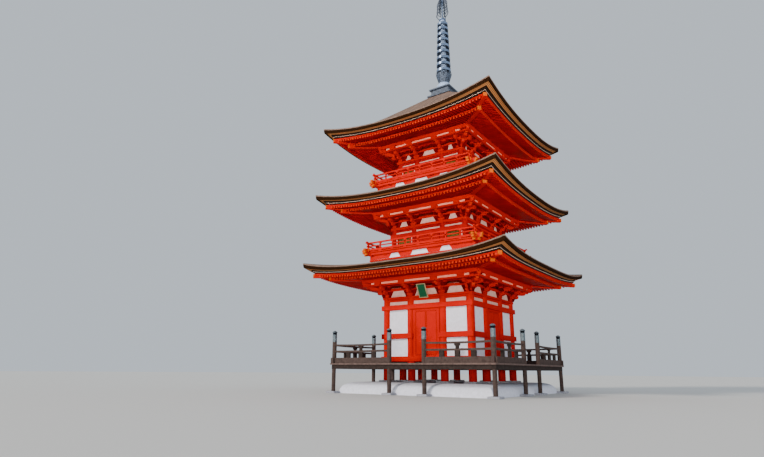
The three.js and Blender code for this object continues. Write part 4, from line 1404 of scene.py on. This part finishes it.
class PAGODA_OT_spire(Operator):
    """Bronze spire: base box, bowl, open flower, nine belled rings, water flame and jewels"""

    bl_idname = "pagoda.spire"
    bl_label = "Spire"

    def execute(self, context):
        self.box()
        self.bowl()
        self.rings()
        self.flame()
        self.jewels()
        return {"FINISHED"}

    @staticmethod
    def box():
        """The box on the roof, with two raised panels."""
        bm = bmesh.new()
        swept(bm, SPIRE_BOX)
        for x in (-0.172, 0.172):
            block(bm, around(x, 0.15), (0.344, 0.35), (10.09, 10.21))
        keep("spire_box", bm, [dark_bronze_and_painted_shade], ["spire_base"])

    @staticmethod
    def bowl():
        """The upturned bowl and the open flower with its two rows of petals."""
        bm = bmesh.new()
        # The lower bowl is finish 2, a painted highlight
        turned(bm, BOWL, 32, marks=[(10.57, 11.01, 1), (10.29, 10.57, 2)])
        for row, (low, high, spread) in enumerate(PETAL_ROWS):
            for i in range(PETALS):
                angle = 2 * math.pi * (i + 0.5 * row) / PETALS

                def place(side, along, up, low=low, high=high, spread=spread, angle=angle):
                    share = along + 0.5
                    r = PETAL_FOOT + (spread - PETAL_FOOT) * share
                    z = low + (high - low) * share**1.15
                    half = 0.042 * math.sin(math.pi * (0.18 + 0.78 * share)) ** 0.7
                    return Matrix.Rotation(angle, 3, "Z") @ Vector((half * 2 * side, -r, z + 0.008 * up))

                shaped(bm, place, cuts=5)
        keep("spire_bowl_and_flower", bm, [petal_bronze, dark_bronze_and_painted_shade, painted_highlight_bronze],
             ["spire_bowl"], smooth=True)

    @staticmethod
    def rings():
        """Nine rings, hollow underneath, each with eight bells, on a tube with a flange on top. The tube is
        painted pale as a highlight, and the rings' dark spans and the bells are painted shade.
        """
        bm = bmesh.new()
        # The tube is finish 2, a painted highlight
        turned(bm, TUBE, 20, marks=[(10.98, 13.25, 2)])
        widest, narrowest = RING_RADII
        for i, z in enumerate(RING_HEIGHTS):
            r = widest + (narrowest - widest) * i / (len(RING_HEIGHTS) - 1)
            profile = [(0.07, z + 0.03), (0.86 * r, z + 0.03), (0.88 * r, z - 0.045), (r, z - 0.045),
                       (r, z + 0.04), (0.94 * r, z + 0.048), (0.72 * r, z + 0.05), (0.56 * r, z + 0.08),
                       (0.07, z + 0.12)]
            dark = [(z + low, z + high, 1) for low, high in RING_DARK]
            turned(bm, profile, 32, marks=dark, loop=True)
            for k in range(8):
                first = len(bm.verts)
                # Each bell is finish 1, dark as painted shade
                turned(bm, [(0.0, z - 0.04), (0.014, z - 0.05), (0.024, z - 0.105), (0.0, z - 0.105)], 8,
                       (0.0, 0.012 - r), [(z - 0.11, z, 1)])
                turn_to(bm, new_verts(bm, first), k * math.pi / 4)
        turned(bm, FLANGE, 20)
        keep("spire_nine_rings", bm, [cast_bronze, dark_bronze_and_painted_shade, painted_highlight_bronze],
             ["spire_rings"], smooth=True)

    @staticmethod
    def flame():
        """Four wings of curling tongues round the pole."""
        bm = bmesh.new()
        turned(bm, POLE, 12)
        for k in range(4):
            for foot, near, tall, wide in TONGUES:

                def place(side, along, up, foot=foot, near=near, tall=tall, wide=wide, k=k):
                    s = along + 0.5
                    r = near + wide * math.sin(math.pi * (0.08 + 0.7 * s)) - near * s
                    thick = 0.05 * (1 - s) ** 0.5 + 0.006
                    z = foot + tall * s + 0.35 * thick * up
                    spot = Vector((0.016 * side, -max(0.01, r + thick * up), z))
                    return Matrix.Rotation(k * RIGHT_ANGLE, 3, "Z") @ spot

                shaped(bm, place, cuts=9, mark=1)
        keep("spire_water_flame", bm, [cast_bronze, dark_bronze_and_painted_shade], ["spire_flame"])

    @staticmethod
    def jewels():
        """The two jewels and the tip."""
        bm = bmesh.new()
        turned(bm, JEWELS, 24)
        keep("spire_two_jewels", bm, [cast_bronze], ["spire_jewels"], smooth=True)


# Stage


class PAGODA_OT_stage(Operator):
    """Pale floor, soft light and the camera"""

    bl_idname = "pagoda.stage"
    bl_label = "Stage"

    def execute(self, context):
        self.floor(context)
        self.lights(context)
        self.camera(context)
        return {"FINISHED"}

    @staticmethod
    def floor(context):
        """A wide matt floor."""
        bm = bmesh.new()
        bmesh.ops.create_grid(bm, x_segments=1, y_segments=1, size=FLOOR_HALF)
        mesh = bpy.data.meshes.new("studio_floor")
        bm.to_mesh(mesh)
        bm.free()
        floor = bpy.data.objects.new("studio_floor", mesh)
        paint = bpy.data.materials.new("studio floor paint")
        paint.use_nodes = True
        paint.node_tree.nodes.clear()
        shader = add(paint.node_tree, "BsdfPrincipled", None,
                     {"Base Color": (*linear(FLOOR_COLOUR), 1), "Roughness": 0.9})
        add(paint.node_tree, "OutputMaterial", None, {"Surface": shader.outputs["BSDF"]})
        mesh.materials.append(paint)
        context.scene.collection.objects.link(floor)

    @staticmethod
    def lights(context):
        """An even sky, the sun, and the fill."""
        world = bpy.data.worlds.new("studio sky")
        world.use_nodes = True
        world.node_tree.nodes.clear()
        glow = add(world.node_tree, "Background", None,
                   {"Color": (*linear(SKY_COLOUR), 1), "Strength": SKY_STRENGTH})
        add(world.node_tree, "OutputWorld", None, {"Surface": glow.outputs["Background"]})
        context.scene.world = world
        sun = bpy.data.lights.new("key", "SUN")
        sun.energy = SUN_STRENGTH
        sun.angle = SUN_WIDTH
        fill = bpy.data.lights.new("low fill", "AREA")
        fill.energy = FILL_WATTS
        fill.spread = FILL_SPREAD
        fill.shape = "RECTANGLE"
        fill.size, fill.size_y = FILL_SIZE
        for lamp, place, ray in ((sun, SUN_PLACE, SUN_RAY), (fill, FILL_PLACE, FILL_RAY)):
            lamp.color = linear(LAMP_COLOUR)
            light = bpy.data.objects.new(lamp.name, lamp)
            light.location = place
            light.rotation_mode = "QUATERNION"
            light.rotation_quaternion = Vector(ray).to_track_quat("-Z", "Y")
            context.scene.collection.objects.link(light)

    @staticmethod
    def camera(context):
        """The camera at the photograph's viewing angle."""
        ahead = Vector((math.sin(YAW) * math.cos(PITCH), math.cos(YAW) * math.cos(PITCH), math.sin(PITCH)))
        level = Vector((math.cos(YAW), -math.sin(YAW), 0))
        upward = level.cross(ahead)
        right = level * math.cos(ROLL) + upward * math.sin(ROLL)
        top = upward * math.cos(ROLL) - level * math.sin(ROLL)
        data = bpy.data.cameras.new("camera")
        data.sensor_width = SENSOR
        data.lens = LENS
        data.clip_end = 400
        camera = bpy.data.objects.new("camera", data)
        turn = Matrix((right, top, -ahead)).transposed().to_4x4()
        camera.matrix_world = Matrix.Translation(EYE) @ turn
        context.scene.collection.objects.link(camera)
        context.scene.camera = camera


STEPS = (
    PAGODA_OT_mound,
    PAGODA_OT_veranda,
    PAGODA_OT_ground_storey,
    PAGODA_OT_doors,
    PAGODA_OT_name_board,
    PAGODA_OT_brackets,
    PAGODA_OT_eaves,
    PAGODA_OT_roofs,
    PAGODA_OT_waists,
    PAGODA_OT_balconies,
    PAGODA_OT_upper_walls,
    PAGODA_OT_spire,
    PAGODA_OT_stage,
)


class PAGODA_PT_pieces(Panel):
    """Sizes, colours and one button for each group of pieces"""

    bl_idname = "PAGODA_PT_pieces"
    bl_label = "Pagoda"
    bl_space_type = "VIEW_3D"
    bl_region_type = "UI"
    bl_category = "Pagoda"

    def draw(self, context):
        for group in (context.scene.pagoda_sizes, context.scene.pagoda_colours):
            for name in group.__annotations__:
                self.layout.prop(group, name)
        for step in STEPS:
            self.layout.operator(step.bl_idname)


CLASSES = (PagodaSizes, PagodaColours, *STEPS, PAGODA_PT_pieces)


def register():
    for kind in CLASSES:
        bpy.utils.register_class(kind)
    bpy.types.Scene.pagoda_sizes = PointerProperty(type=PagodaSizes)
    bpy.types.Scene.pagoda_colours = PointerProperty(type=PagodaColours)


def unregister():
    del bpy.types.Scene.pagoda_colours
    del bpy.types.Scene.pagoda_sizes
    for kind in reversed(CLASSES):
        bpy.utils.unregister_class(kind)


def main():
    register()
    for step in STEPS:
        group, name = step.bl_idname.split(".")
        getattr(getattr(bpy.ops, group), name)()


if __name__ == "__main__":
    main()
